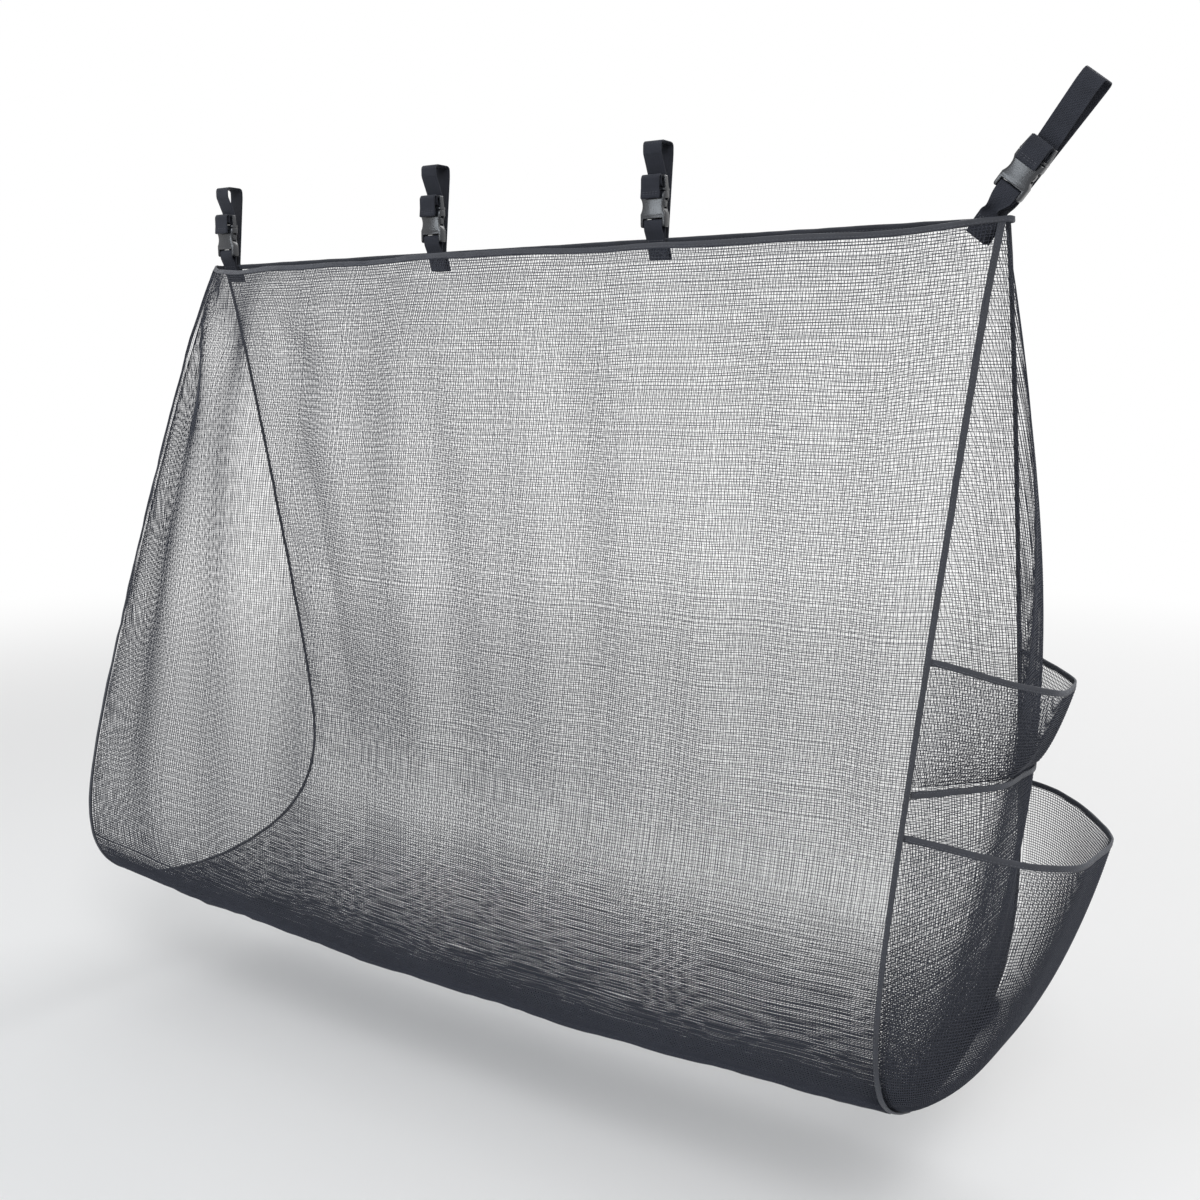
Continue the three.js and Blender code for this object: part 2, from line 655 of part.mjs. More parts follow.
// A springy arm with a finger pad that stands out through the socket's window. side is -1 or 1.
function prongGeometry(side) {
  const tip = pivotZ - PRONG_LENGTH;
  const inner = PRONG_PIVOT_X - PRONG_ARM / 2;
  const outer = PRONG_PIVOT_X + PRONG_ARM / 2;
  const padFoot = WINDOW_BOTTOM + PAD_PLAY;
  const padHead = WINDOW_TOP - PAD_PLAY;
  const padMiddle = (padFoot + padHead) / 2;
  const outline = new THREE.Shape();
  outline.moveTo(side * inner, pivotZ);
  outline.lineTo(side * inner, padHead);
  outline.lineTo(side * (inner + TIP_TAPER), tip + 2 * TIP_TAPER);
  outline.quadraticCurveTo(side * (inner + TIP_ROUNDING), tip, side * (outer - TIP_TAPER), tip);
  outline.quadraticCurveTo(side * (outer + TIP_ROUNDING), tip, side * (outer + TIP_ROUNDING), padFoot);
  outline.quadraticCurveTo(side * PAD_REACH, padFoot + TIP_TAPER, side * PAD_REACH, padMiddle);
  outline.lineTo(side * (PAD_REACH - PAD_SLOPE), padHead - TIP_TAPER);
  outline.lineTo(side * outer, padHead + PAD_SHOULDER);
  outline.lineTo(side * outer, pivotZ);
  const [from, to] = side > 0 ? [0, Math.PI] : [Math.PI, 0];
  outline.absarc(side * PRONG_PIVOT_X, pivotZ, PRONG_ARM / 2, from, to, side < 0);
  return plate(outline, PRONG_THICKNESS);
}

function strap(number, x, hang) {
  const group = new THREE.Group();
  const buckle = new THREE.Group();
  buckle.position.set(0, -BUCKLE_FORWARD, hang.lift);
  buckle.add(
    part(`buckle_${number}_socket`, socketGeometry(), plastic),
    part(`buckle_${number}_plug`, plugGeometry(), plastic),
    part(`buckle_${number}_prong_left`, prongGeometry(-1), plastic),
    part(`buckle_${number}_prong_right`, prongGeometry(1), plastic),
  );
  group.add(
    buckle,
    part(`strap_${number}_tab`, tabGeometry(hang), webbing),
    part(`strap_${number}_loop`, loopGeometry(hang), webbing),
    part(`strap_${number}_front_run`, frontRunGeometry(hang), webbing),
    part(`strap_${number}_tail`, tailGeometry(hang), webbing),
  );
  group.position.set(x, 0, -RAIL_RISE);
  group.rotation.y = hang.lean;
  return group;
}

const outerStrap = TOP_WIDTH / 2 - CORNER_INSET;
const hangingBag = new THREE.Group();
hangingBag.add(bag());
const upright = { rise: RAIL_RISE, lift: BUCKLE_LIFT, lean: 0 };
const leaning = { rise: LEANING_RISE, lift: LEANING_LIFT, lean: LEAN };
hangingBag.add(strap(1, -outerStrap, upright));
hangingBag.add(strap(2, -INNER_STRAP_X, upright));
hangingBag.add(strap(3, INNER_STRAP_X, upright));
hangingBag.add(strap(4, outerStrap, leaning));

export default hangingBag;
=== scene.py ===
# %% [markdown]
# A large hanging mesh bag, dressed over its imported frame.
# The frame holds the plain solids, in metres: +X points to the end with the pockets, -Y to the front, and the
# straps' seats on the rail are at z = 0. Everything soft is made again here, thread by thread where it shows.

# %% Load the frame
import math

import bpy
import numpy as np
from mathutils import Euler, Matrix, Vector


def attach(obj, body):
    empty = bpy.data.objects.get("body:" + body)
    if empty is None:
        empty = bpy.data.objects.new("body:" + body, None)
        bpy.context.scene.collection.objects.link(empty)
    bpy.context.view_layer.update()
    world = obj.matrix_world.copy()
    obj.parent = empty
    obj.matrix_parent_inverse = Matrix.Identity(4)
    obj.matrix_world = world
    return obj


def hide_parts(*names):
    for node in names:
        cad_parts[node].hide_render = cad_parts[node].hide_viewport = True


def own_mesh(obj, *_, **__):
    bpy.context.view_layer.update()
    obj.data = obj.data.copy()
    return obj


def linked(name, data):
    """A new object that holds the data, in the scene."""
    made = bpy.data.objects.new(name, data)
    bpy.context.scene.collection.objects.link(made)
    return made


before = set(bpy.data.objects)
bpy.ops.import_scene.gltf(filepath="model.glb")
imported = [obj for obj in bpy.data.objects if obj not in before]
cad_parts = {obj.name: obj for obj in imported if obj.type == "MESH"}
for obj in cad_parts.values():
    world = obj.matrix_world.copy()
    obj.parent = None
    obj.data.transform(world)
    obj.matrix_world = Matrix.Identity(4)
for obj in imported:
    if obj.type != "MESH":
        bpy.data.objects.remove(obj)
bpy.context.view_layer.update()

# %% [markdown]
# The camera stands where the photograph was taken: to the right of the bag, a little below its hem, looking
# down by ten degrees. Its place was solved from the bag's own corners and seams, so it is written as numbers.

# %% Camera
CAMERA_PLACE = Vector((1.021, -1.392, -0.260))
CAMERA_TURN = math.radians(33.83)  # to the left of +Y
CAMERA_DIP = math.radians(9.75)
LENS_SHARE = 1342 / 1200  # focal length over image width
SENSOR = 36.0
FAR_CLIP = 60

aim = Euler((math.pi / 2 - CAMERA_DIP, 0, CAMERA_TURN))
camera = linked("camera", bpy.data.cameras.new("camera"))
camera.data.sensor_width = SENSOR
camera.data.lens = LENS_SHARE * SENSOR
camera.data.clip_end = FAR_CLIP
camera.matrix_world = Matrix.Translation(CAMERA_PLACE) @ aim.to_matrix().to_4x4()
bpy.context.scene.camera = camera
bpy.context.scene.view_settings.view_transform = "Standard"
print("camera at", tuple(round(value, 3) for value in CAMERA_PLACE))

# %% [markdown]
# Shader maths reads best as plain sums. A Value wraps one output of a node, and adding or multiplying Values
# lays down Math nodes. A Finish is one material: its add method makes any node from its type, its settings
# and what goes into its sockets.

# %% Shader helpers
WEAVE_MAP = "weave"
TURN = 2 * math.pi


class Value:
    """A number that runs along a shader link."""

    def __init__(self, finish, socket):
        self.finish = finish
        self.socket = socket

    def maths(self, operation, *others):
        return self.finish.add("ShaderNodeMath", {"operation": operation}, dict(enumerate((self, *others))))

    def __add__(self, other):
        return self.maths("ADD", other)

    def __mul__(self, other):
        return self.maths("MULTIPLY", other)

    def __rsub__(self, other):
        return self * -1 + other

    __radd__ = __add__
    __rmul__ = __mul__

    def sine(self):
        return self.maths("SINE")

    def size(self):
        return self.maths("ABSOLUTE")

    def step_above(self, edge):
        return self.maths("GREATER_THAN", edge)


class Nodes:
    """A node tree that is filled by one method."""

    def __init__(self, tree):
        self.tree = tree

    def add(self, kind, settings=None, sockets=None, output=0):
        node = self.tree.nodes.new(kind)
        for name, value in (settings or {}).items():
            setattr(node, name, value)
        for name, value in (sockets or {}).items():
            self.feed(node.inputs[name], value)
        return Value(self, node.outputs[output])

    def feed(self, socket, value):
        if isinstance(value, Value):
            self.tree.links.new(value.socket, socket)
        else:
            socket.default_value = value


class Finish(Nodes):
    """A material built round one Principled shader."""

    def __init__(self, name, **constants):
        self.material = bpy.data.materials.new(name)
        self.material.use_nodes = True
        super().__init__(self.material.node_tree)
        self.shader = self.tree.nodes["Principled BSDF"]
        self.set(**constants)

    def place(self):
        return self.add("ShaderNodeTexCoord", output="Object")

    def noise(self, place, scale, detail=2.0):
        return self.add("ShaderNodeTexNoise", {}, {"Vector": place, "Scale": scale, "Detail": detail})

    def uv(self):
        """The two lengths, in metres, of the piece's own weave map: along it and across it."""
        pair = self.add("ShaderNodeUVMap", {"uv_map": WEAVE_MAP})
        parts = self.add("ShaderNodeSeparateXYZ", {}, {0: pair})
        return parts, Value(self, parts.socket.node.outputs[1])

    def between(self, share, low, high):
        """A colour mixed from low to high."""
        mixed = self.add("ShaderNodeMix", {"data_type": "RGBA"}, {"Factor": share}, output=2)
        node = mixed.socket.node
        node.inputs[6].default_value = (*low, 1)
        node.inputs[7].default_value = (*high, 1)
        return mixed

    def bump(self, height, distance):
        return self.add("ShaderNodeBump", {}, {"Height": height, "Distance": distance, "Strength": 1.0})

    def set(self, **sockets):
        for words, value in sockets.items():
            title = words.replace("_", " ").title().replace("Ior", "IOR")
            self.feed(self.shader.inputs[title], value)


# %% [markdown]
# The net is knitted from charcoal polyester. Single threads are half a millimetre wide, so their colour only
# drifts slowly over the cloth, with a finer mottle along each thread, and a little sheen at grazing angles.

# %% Net thread
net_finish = Finish(
    "net_thread",
    sheen_weight=0.06, sheen_roughness=0.5, specular_ior_level=0.15,
    sheen_tint=(0.62, 0.66, 0.78, 1),
)
spot = net_finish.place()
drift = net_finish.noise(spot, scale=5.0)
mottle = net_finish.noise(spot, scale=420.0, detail=1.0)
net_finish.set(
    base_color=net_finish.between(drift * 0.6 + mottle * 0.4, (0.020, 0.022, 0.030), (0.054, 0.059, 0.078)),
    roughness=mottle * 0.25 + 0.45,
)
print("net thread finish made")

# %% [markdown]
# Binding tape is a narrow grosgrain: fine ribs cross its width, and its fold catches light as a slate line.
# The ribs come from the tape's own weave map, so they turn with it round every corner.

# %% Binding tape
RIB_PITCH = 0.0011
TAPE_THREAD = 0.0007

tape_finish = Finish(
    "binding_tape",
    sheen_weight=0.16, sheen_roughness=0.35, specular_ior_level=0.38,
    sheen_tint=(0.60, 0.65, 0.78, 1),
)
along, across = tape_finish.uv()
ribs = (along * (TURN / RIB_PITCH)).sine()
threads_across = (across * (TURN / TAPE_THREAD)).sine()
weave_height = ribs * 0.7 + threads_across * (ribs * 0.3)
tape_drift = tape_finish.noise(tape_finish.place(), scale=38.0, detail=3.0)
# The ribs also tint the colour: painted highlight on each rib's crest, painted shade in the grooves between.
tape_finish.set(
    base_color=tape_finish.between(
        tape_drift * 0.7 + ribs * 0.15 + 0.1, (0.012, 0.0135, 0.018), (0.050, 0.054, 0.068)
    ),
    roughness=tape_drift * 0.3 + 0.36,
    normal=tape_finish.bump(weave_height, distance=0.00016),
)
print("binding tape finish made")

# %% [markdown]
# Webbing is a heavier weave: rows of warp floats that lean one way and then the other, which reads as fine
# chevrons, with a plain selvedge along each edge.

# %% Webbing
CHEVRON_ROW = 0.0036
FLOAT_PITCH = 0.0016
FLOAT_LEAN = 1.9
SELVEDGE = 0.0108

webbing_finish = Finish(
    "webbing",
    sheen_weight=0.10, sheen_roughness=0.4, specular_ior_level=0.18,
    sheen_tint=(0.66, 0.70, 0.80, 1),
)
along, across = webbing_finish.uv()
lean = (across * (TURN / CHEVRON_ROW)).sine()
floats = (along * (TURN / FLOAT_PITCH) + lean * FLOAT_LEAN).sine()
rows = (across * (2 * TURN / CHEVRON_ROW)).sine()
selvedge = across.size().step_above(SELVEDGE)
edge_ribs = (along * (TURN / RIB_PITCH)).sine() * selvedge * 0.5
strap_weave = (floats * 0.75 + rows * 0.35) * (1 - selvedge) + edge_ribs
strap_drift = webbing_finish.noise(webbing_finish.place(), scale=60.0, detail=3.0)
# The floats also tint the colour: painted highlight on their crests, painted shade between them.
webbing_finish.set(
    base_color=webbing_finish.between(
        strap_drift * 0.55 + floats * 0.18 + 0.15, (0.009, 0.010, 0.014), (0.043, 0.047, 0.062)
    ),
    roughness=strap_drift * 0.2 + 0.5,
    normal=webbing_finish.bump(strap_weave, distance=0.00026),
)
print("webbing finish made")

# %% [markdown]
# The buckles are moulded black plastic: shiny, with a faint spark-eroded grain and a slow unevenness that
# keeps the highlights from looking cut out.

# %% Buckle plastic
plastic_finish = Finish("buckle_plastic", specular_ior_level=0.5, coat_weight=0.25, coat_roughness=0.12)
spot = plastic_finish.place()
grain = plastic_finish.noise(spot, scale=2600.0)
flow = plastic_finish.noise(spot, scale=90.0, detail=3.0)
plastic_finish.set(
    base_color=plastic_finish.between(flow, (0.0085, 0.0095, 0.012), (0.017, 0.019, 0.024)),
    roughness=flow * 0.16 + 0.18,
    normal=plastic_finish.bump(grain + flow * 0.6, distance=0.00005),
)
print("buckle finish made")

# %% [markdown]
# Sewing thread is bonded polyester, a shade lighter than the tape so that the rows of stitches can be seen.

# %% Sewing thread
thread_finish = Finish("sewing_thread", sheen_weight=0.08, specular_ior_level=0.25)
twist = thread_finish.noise(thread_finish.place(), scale=1800.0, detail=1.0)
thread_finish.set(
    base_color=thread_finish.between(twist, (0.055, 0.058, 0.068), (0.125, 0.130, 0.150)),
    roughness=twist * 0.2 + 0.42,
)
print("sewing thread finish made")

# %% [markdown]
# The bag's surface is one formula, the same as the solids'. A station runs from 0 at the front hem, by 1 at
# the base, to 2 at the back hem, and a share from -1 at the left end seam to 1 at the right one. The cloth of
# the scene adds what the solids leave out: soft hanging folds, and folds that fan from the two top corners.

# %% The bag's surface
HEM_Z = -0.108
BAG_HEIGHT = 0.900
HALF_WIDTH = 0.586
END_FLARE = 0.004
FRONT_SWELL = 0.345
BACK_SWELL = 0.190
PROFILE_TAPER = 0.85
BASE_SQUARENESS = 12
MOUTH_OPENING = 0.170
MOUTH_ROUNDNESS = 0.75
MOUTH_FADE = 1.3
CORNER_GAP = 0.009
HEM_SAG = 0.022
HEM_FLATNESS = 6
BASE_SAG = 0.022
END_BULGE = 0.060
BASE_SEAM_DEPTH = 0.962
TAPE_WIDTH = 0.0066
END_TAPE_WIDTH = 0.0052
TAPE_FOLD = 0.0025  # thickness of the folded tape with the net inside
END_SEAM_INSET = 0.0035
TAPE_THICKNESS = 0.0032  # room that the other pieces leave for it
NUDGE = 1e-3
TINY = 1e-9
ANGLE_FLOOR = 1e-6
SEAM_LIMIT = 0.995  # directions are read just inside the end seams

PROFILE_HALF = (FRONT_SWELL + BACK_SWELL) / 2
PROFILE_SHIFT = (FRONT_SWELL - BACK_SWELL) / 2

# Waves in the cloth: height in metres, waves across, slant and start
FRONT_FOLDS = ((0.0065, 1.7, 0.35, 0.20), (0.0042, 3.9, -0.60, 0.55))
BACK_FOLDS = ((0.0050, 2.2, -0.30, 0.35), (0.0034, 4.6, 0.45, 0.10))
END_RIPPLE = ((0.0035, 1.3, 0.8, 0.2),)
FAN_HEIGHT = 0.0075
FAN_RAYS = 9
FAN_REACH = 0.34
FAN_CORNERS = ((-1, 0.3), (1, 1.4))  # side and start
PUCKERS = {"height": 0.0040, "down": 8.5, "side_start": 0.3}
HEM_FOLD_SHARE = 0.25  # of the front's folds that reaches its hem
FOOT_FLATTENING = 0.85
# Where the folds set in, from none to full: lengths from a corner, depths, and shares from the end seams
FAN_RISE = (0.02, 0.12)
FRONT_RISE = (0, 0.15)
BACK_RISE = (0.02, 0.2)
FOOT_FALL = (0.72, 0.95)
SIDE_RISE = (0.015, 0.14)
PUCKER_RISE = (0.004, 0.04)
PUCKER_FALL = (0.05, 0.16)


def paired(first, second):
    return np.broadcast_arrays(np.asarray(first, float), np.asarray(second, float))


def grid_of(first, second):
    return np.meshgrid(first, second, indexing="ij")


def waves(rows, across, depth):
    """The sum of some waves over the cloth."""
    total = 0
    for height, times, slant, start in rows:
        total = total + height * np.sin(TURN * (times * across + slant * depth + start))
    return total


def depth_at(station):
    return station * (2 - station)


def front_station(drop):
    return 1 - np.sqrt(1 - drop / BAG_HEIGHT)


def seam_x(depth):
    return HALF_WIDTH + END_FLARE * (1 - (1 - depth) ** 3)


def profile_y(station):
    depth = np.clip(depth_at(station), 0, 1)
    side = np.sign(station - 1) * PROFILE_HALF * np.sqrt(1 - depth**BASE_SQUARENESS)
    return (side - PROFILE_SHIFT) * depth**PROFILE_TAPER


def even_surface(share, station, inset=0.0):
    """The bag with no folds."""
    share, station = paired(share, station)
    depth = np.clip(depth_at(station), 0, 1)
    rise = 1 - depth
    x = share * (seam_x(depth) - inset)
    spread = np.minimum(1, np.abs(x / seam_x(depth)))
    front = station < 1
    opening = MOUTH_OPENING * (1 - spread**2) ** MOUTH_ROUNDNESS * rise**MOUTH_FADE + CORNER_GAP * rise**2
    hem_sag = HEM_SAG * (1 - spread**HEM_FLATNESS) * rise**2
    y = profile_y(station) - np.where(front, opening, 0)
    z = HEM_Z - BAG_HEIGHT * depth - BASE_SAG * (1 - spread**2) * depth**2 - np.where(front, hem_sag, 0)
    return np.stack([x, y, z], axis=-1)


def unit(vectors):
    return vectors / np.maximum(np.linalg.norm(vectors, axis=-1, keepdims=True), TINY)


def outward(share, station):
    share = np.clip(share, -SEAM_LIMIT, SEAM_LIMIT)
    below, above = (np.clip(station + step, 0, 2) for step in (NUDGE, -NUDGE))
    down = even_surface(share, below) - even_surface(share, above)
    sideways = even_surface(share + NUDGE, station) - even_surface(share - NUDGE, station)
    return unit(np.cross(down, sideways))


def ease(value, low, high):
    share = np.clip((value - low) / (high - low), 0, 1)
    return share * share * (3 - 2 * share)


def folds(share, station):
    """How far the hanging cloth stands out of the even surface, in metres."""
    depth = depth_at(station)
    front = station < 1
    down = depth * BAG_HEIGHT
    hanging = np.where(front, waves(FRONT_FOLDS, share, depth), waves(BACK_FOLDS, share, depth))
    fans = 0
    for corner, start in FAN_CORNERS:
        away = (1 - corner * share) * HALF_WIDTH
        reach = np.hypot(away, down)
        angle = np.arctan2(down, away + ANGLE_FLOOR)
        fading = np.exp(-((reach / FAN_REACH) ** 2))
        fans = fans + FAN_HEIGHT * np.sin(FAN_RAYS * angle + start) * fading * ease(reach, *FAN_RISE)
    front_top = HEM_FOLD_SHARE + (1 - HEM_FOLD_SHARE) * ease(depth, *FRONT_RISE)
    top = np.where(front, front_top, ease(depth, *BACK_RISE))
    foot = 1 - FOOT_FLATTENING * ease(depth, *FOOT_FALL)
    from_seam = 1 - np.abs(share)
    beside_seam = ease(from_seam, *PUCKER_RISE) * (1 - ease(from_seam, *PUCKER_FALL))
    turns = PUCKERS["down"] * station + PUCKERS["side_start"] * np.sign(share)
    puckers = PUCKERS["height"] * np.sin(TURN * turns) * beside_seam
    return ((hanging + fans) * ease(from_seam, *SIDE_RISE) + puckers) * top * foot


def bag_point(share, station, inset=0.0):
    share, station = paired(share, station)
    return even_surface(share, station, inset) + outward(share, station) * folds(share, station)[..., None]


hem_station = front_station(TAPE_WIDTH)
base_seam = front_station(BASE_SEAM_DEPTH * BAG_HEIGHT)


def station_after(station, length):
    rate = np.linalg.norm(even_surface(0, station + NUDGE) - even_surface(0, station - NUDGE)) / (2 * NUDGE)
    return station + length / rate


seam_top = station_after(base_seam, -TAPE_WIDTH / 2)
seam_foot = station_after(base_seam, TAPE_WIDTH / 2)
print("base seam at station", round(float(base_seam), 3))

# %% [markdown]
# The two ends are teardrop panels that bulge outwards, and the right one carries both pockets. An end point
# is placed by how far it lies across the panel, from the front seam at -1 to the back one at 1, and by its
# station.

# %% The ends and the pockets
CLOTH = 0.0012
CLEARANCE = 0.0003
POCKET_HEM_SAG = 0.024
POCKET_CORNER_LIFT = 0.020
POCKET_MARGIN = 0.995
POCKET_STAND_OFF = 0.0009
POCKET_SEAM_DROP = 0.004
UPPER_POCKET = dict(
    top=0.5 * BAG_HEIGHT, bottom=0.618 * BAG_HEIGHT, swell=0.036, boxiness=2, fullness=0.7, bottom_slant=0.9
)
LOWER_POCKET = dict(
    top=0.676 * BAG_HEIGHT, bottom=0.978 * BAG_HEIGHT, swell=0.090, boxiness=3, fullness=0.32, bottom_slant=0
)
PANEL_TUCK = TAPE_THICKNESS / 2 + CLEARANCE + CLOTH / 2
SEAT_GAP = CLOTH + POCKET_STAND_OFF


def tucked(station):
    """The seam's place in Y and Z, drawn inside its tape."""
    heading = unit((even_surface(1, station + NUDGE) - even_surface(1, station - NUDGE))[..., 1:])
    here = even_surface(1, station)
    return here[..., 1] - heading[..., 1] * PANEL_TUCK, here[..., 2] + heading[..., 0] * PANEL_TUCK


def end_point(side, across, station, stand_off=0.0):
    across, station = paired(across, station)
    front_y, front_z = tucked(station)
    back_y, back_z = tucked(2 - station)
    depth = depth_at(station)
    level = np.sin(np.pi * depth)
    bulge = END_BULGE * (1 - across**2) * level
    ripple = waves(END_RIPPLE, across, depth) * (1 - across**4) * level
    share = (1 + across) / 2
    x = seam_x(depth) - END_SEAM_INSET + bulge + ripple + stand_off
    y = front_y + (back_y - front_y) * share
    z = front_z + (back_z - front_z) * share
    return np.stack([side * x, y, z], axis=-1)


def pocket_point(pocket, across, height, lift=0.0):
    across, height = paired(across, height)
    crown = 1 - np.abs(across) ** pocket["boxiness"]
    slant = pocket["bottom_slant"] + (1 - pocket["bottom_slant"]) * height
    droop = POCKET_HEM_SAG * crown * height + POCKET_CORNER_LIFT * across * slant
    drop = pocket["bottom"] + (pocket["top"] - pocket["bottom"]) * height + droop - lift
    swell = pocket["swell"] * np.sqrt(crown) * height ** pocket["fullness"]
    return end_point(1, across * POCKET_MARGIN, front_station(drop), SEAT_GAP + swell)


# %% [markdown]
# Cloth pieces come from arrays of points. This helper turns points, four-sided faces and three-sided faces
# into an object that sits at the origin, with an optional weave map of lengths along and across the piece.


# %% Mesh from points
def cloth_object(name, points, quads, triangles, finish, quad_uv=None):
    mesh = bpy.data.meshes.new(name)
    corners = np.concatenate([quads.ravel(), triangles.ravel()]).astype(np.int32)
    starts = np.concatenate(
        [np.arange(len(quads)) * 4, len(quads) * 4 + np.arange(len(triangles)) * 3]
    ).astype(np.int32)
    mesh.vertices.add(len(points))
    mesh.vertices.foreach_set("co", np.ascontiguousarray(points, np.float32).ravel())
    mesh.loops.add(len(corners))
    mesh.loops.foreach_set("vertex_index", corners)
    mesh.polygons.add(len(starts))
    mesh.polygons.foreach_set("loop_start", starts)
    mesh.update(calc_edges=True)
    mesh.validate()
    if quad_uv is not None:
        layer = mesh.uv_layers.new(name=WEAVE_MAP)
        pairs = np.concatenate([quad_uv.reshape(-1, 2), np.zeros((len(triangles) * 3, 2))])
        layer.uv.foreach_set("vector", pairs.astype(np.float32).ravel())
    mesh.shade_smooth()
    mesh.materials.append(finish.material)
    return linked(name, mesh)


# %% [markdown]
# Each thread of the net is a slim three-sided strand that follows the surface, flat side out. A net is two
# sets of strands: stout wales that hang down the cloth and finer courses across it.

# %% Strands
STRAND_SIDES = 3


def strands(paths, normals, width, height):
    """Closed strands along paths of shape (strands, points, 3). Returns points, quads and triangles."""
    heading = unit(np.gradient(paths, axis=1))
    sideways = unit(np.cross(normals, heading))
    left = paths + sideways * width / 2 + normals * height / 3
    right = paths - sideways * width / 2 + normals * height / 3
    keel = paths - normals * height * 2 / 3
    rings = np.stack([left, right, keel], axis=2)
    count, length = paths.shape[:2]
    spots = np.arange(count * length * STRAND_SIDES).reshape(count, length, STRAND_SIDES)
    after = np.roll(spots, -1, axis=2)
    quads = np.stack([spots[:, :-1], spots[:, 1:], after[:, 1:], after[:, :-1]], axis=-1).reshape(-1, 4)
    caps = np.concatenate([spots[:, 0], spots[:, -1, ::-1]])
    return rings.reshape(-1, 3), quads, caps


def walk(path):
    """Length walked at each point of a path."""
    return np.concatenate([[0], np.cumsum(np.linalg.norm(np.diff(path, axis=0), axis=1))])


def joined(parts):
    """Several sets of points, quads and triangles as one."""
    points, quads, triangles = [], [], []
    offset = 0
    for some_points, some_quads, some_triangles in parts:
        points.append(some_points)
        quads.append(some_quads + offset)
        triangles.append(some_triangles + offset)
        offset += len(some_points)
    return np.concatenate(points), np.concatenate(quads), np.concatenate(triangles)


def cloth_area(grid):
    """Area of a surface given as a grid of points."""
    first = grid[1:, :-1] - grid[:-1, :-1]
    second = grid[:-1, 1:] - grid[:-1, :-1]
    return float(np.linalg.norm(np.cross(first, second), axis=-1).sum())


# %% [markdown]
# The front and back nets are cut as rectangles, so their wales keep an even share of the width and their
# courses an even length of cloth. Lines of equal length are read off the middle of the bag.

# %% Front and back nets
NET_PITCH = 0.0034
WALE = {"width": 0.00050, "height": 0.00062}
COURSE = {"width": 0.00028, "height": 0.00142}
FRONT_SEGMENT = 0.025
BACK_SEGMENT = 0.028
CLOTH_IN_TAPE = 0.0035  # the net's edge lies this far in from the fold of its binding
THREAD_PLAY = 0.0004  # spread of the threads' places
PULL = 0.0022
PULLS_ACROSS = 2.3
PULLS_ALONG = 1.4
PULL_SHIFT = 0.6
COURSE_SHIFT = 0.4
WALK_POINTS = 600
SEED = 7
random = np.random.default_rng(SEED)


def spaced(length, pitch, play=0.0):
    """Places along a length, a pitch apart, with some play between the two ends."""
    places = np.linspace(0, length, round(length / pitch) + 1)
    places[1:-1] += random.normal(0, play, len(places) - 2)
    return places


def drawn(length, across, phase):
    """Slow pull of the knitting, as a shift in metres that fades at both ends of the length."""
    ends = np.sin(np.pi * np.clip(length, 0, 1))
    sideways = np.sin(TURN * (PULLS_ACROSS * across + phase))
    return PULL * ends * sideways * np.sin(TURN * (PULLS_ALONG * length + PULL_SHIFT * phase))


def body_net(name, start, end, segment, phase):
    fine = np.linspace(start, end, WALK_POINTS)
    walked = walk(even_surface(0, fine))
    length = walked[-1]
    width = 2 * HALF_WIDTH

    def net_points(across, down):
        """The net at lengths across from its left edge and down from its upper one."""
        across = across + drawn(across / width, down, phase)
        down = down + drawn(down / length, across, phase + COURSE_SHIFT)
        share = across / HALF_WIDTH - 1
        station = np.interp(down, walked, fine)
        return bag_point(share, station, CLOTH_IN_TAPE), outward(share, station)

    across, down = grid_of(spaced(width, NET_PITCH, THREAD_PLAY), spaced(length, segment))
    wales = strands(*net_points(across, down), **WALE)
    down, across = grid_of(spaced(length, NET_PITCH, THREAD_PLAY), spaced(width, segment))
    courses = strands(*net_points(across, down), **COURSE)
    net = cloth_object(name, *joined([wales, courses]), net_finish)
    patch = grid_of(spaced(width, segment), spaced(length, segment))
    area = cloth_area(net_points(*patch)[0])
    print(name, "is cut", round(width, 3), "by", round(area / width, 3), "m, faces", len(net.data.polygons))
    return net, (width, area / width)


front_net, front_cut = body_net("front_net", hem_station / 2, base_seam, FRONT_SEGMENT, phase=0.1)
back_net, back_cut = body_net("back_net", base_seam, 2 - hem_station / 2, BACK_SEGMENT, phase=0.65)

# %% [markdown]
# An end panel is cut from straight-grained net too, so its threads run straight up and straight across and
# stop at the seam, whatever the outline. Each line is clipped to the teardrop before it becomes a strand.

# %% End nets
END_SEGMENT = 0.022
END_FOOT = 0.985
PANEL_POINTS = 400
LEAST_POINTS = 3
AREA_GRID = (40, 60)


def panel_lines():
    stations = np.linspace(hem_station, END_FOOT, PANEL_POINTS)
    front_y, front_z = tucked(stations)
    back_y, _ = tucked(2 - stations)
    paths = []
    for y in front_y.min() + spaced(np.ptp(np.append(front_y, back_y)), NET_PITCH, THREAD_PLAY):
        inside = np.nonzero((front_y <= y) & (y <= back_y))[0]
        if len(inside) < 2:
            continue
        upper, lower = inside[[0, -1]]
        count = max(LEAST_POINTS, round((front_z[upper] - front_z[lower]) / END_SEGMENT) + 1)
        heights = np.linspace(front_z[upper], front_z[lower], count)[::-1]
        line = np.interp(heights, front_z[::-1], stations[::-1])
        line = np.clip(line, stations[upper], stations[lower])
        spread = (y - np.interp(line, stations, front_y)) / np.interp(line, stations, back_y - front_y)
        paths.append((np.clip(2 * spread - 1, -1, 1), line, WALE))
    for z in front_z.min() + spaced(np.ptp(front_z), NET_PITCH, THREAD_PLAY):
        station = np.interp(z, front_z[::-1], stations[::-1])
        width = np.interp(station, stations, back_y - front_y)
        count = max(LEAST_POINTS, round(width / END_SEGMENT) + 1)
        paths.append((np.linspace(-1, 1, count), np.full(count, station), COURSE))
    return paths


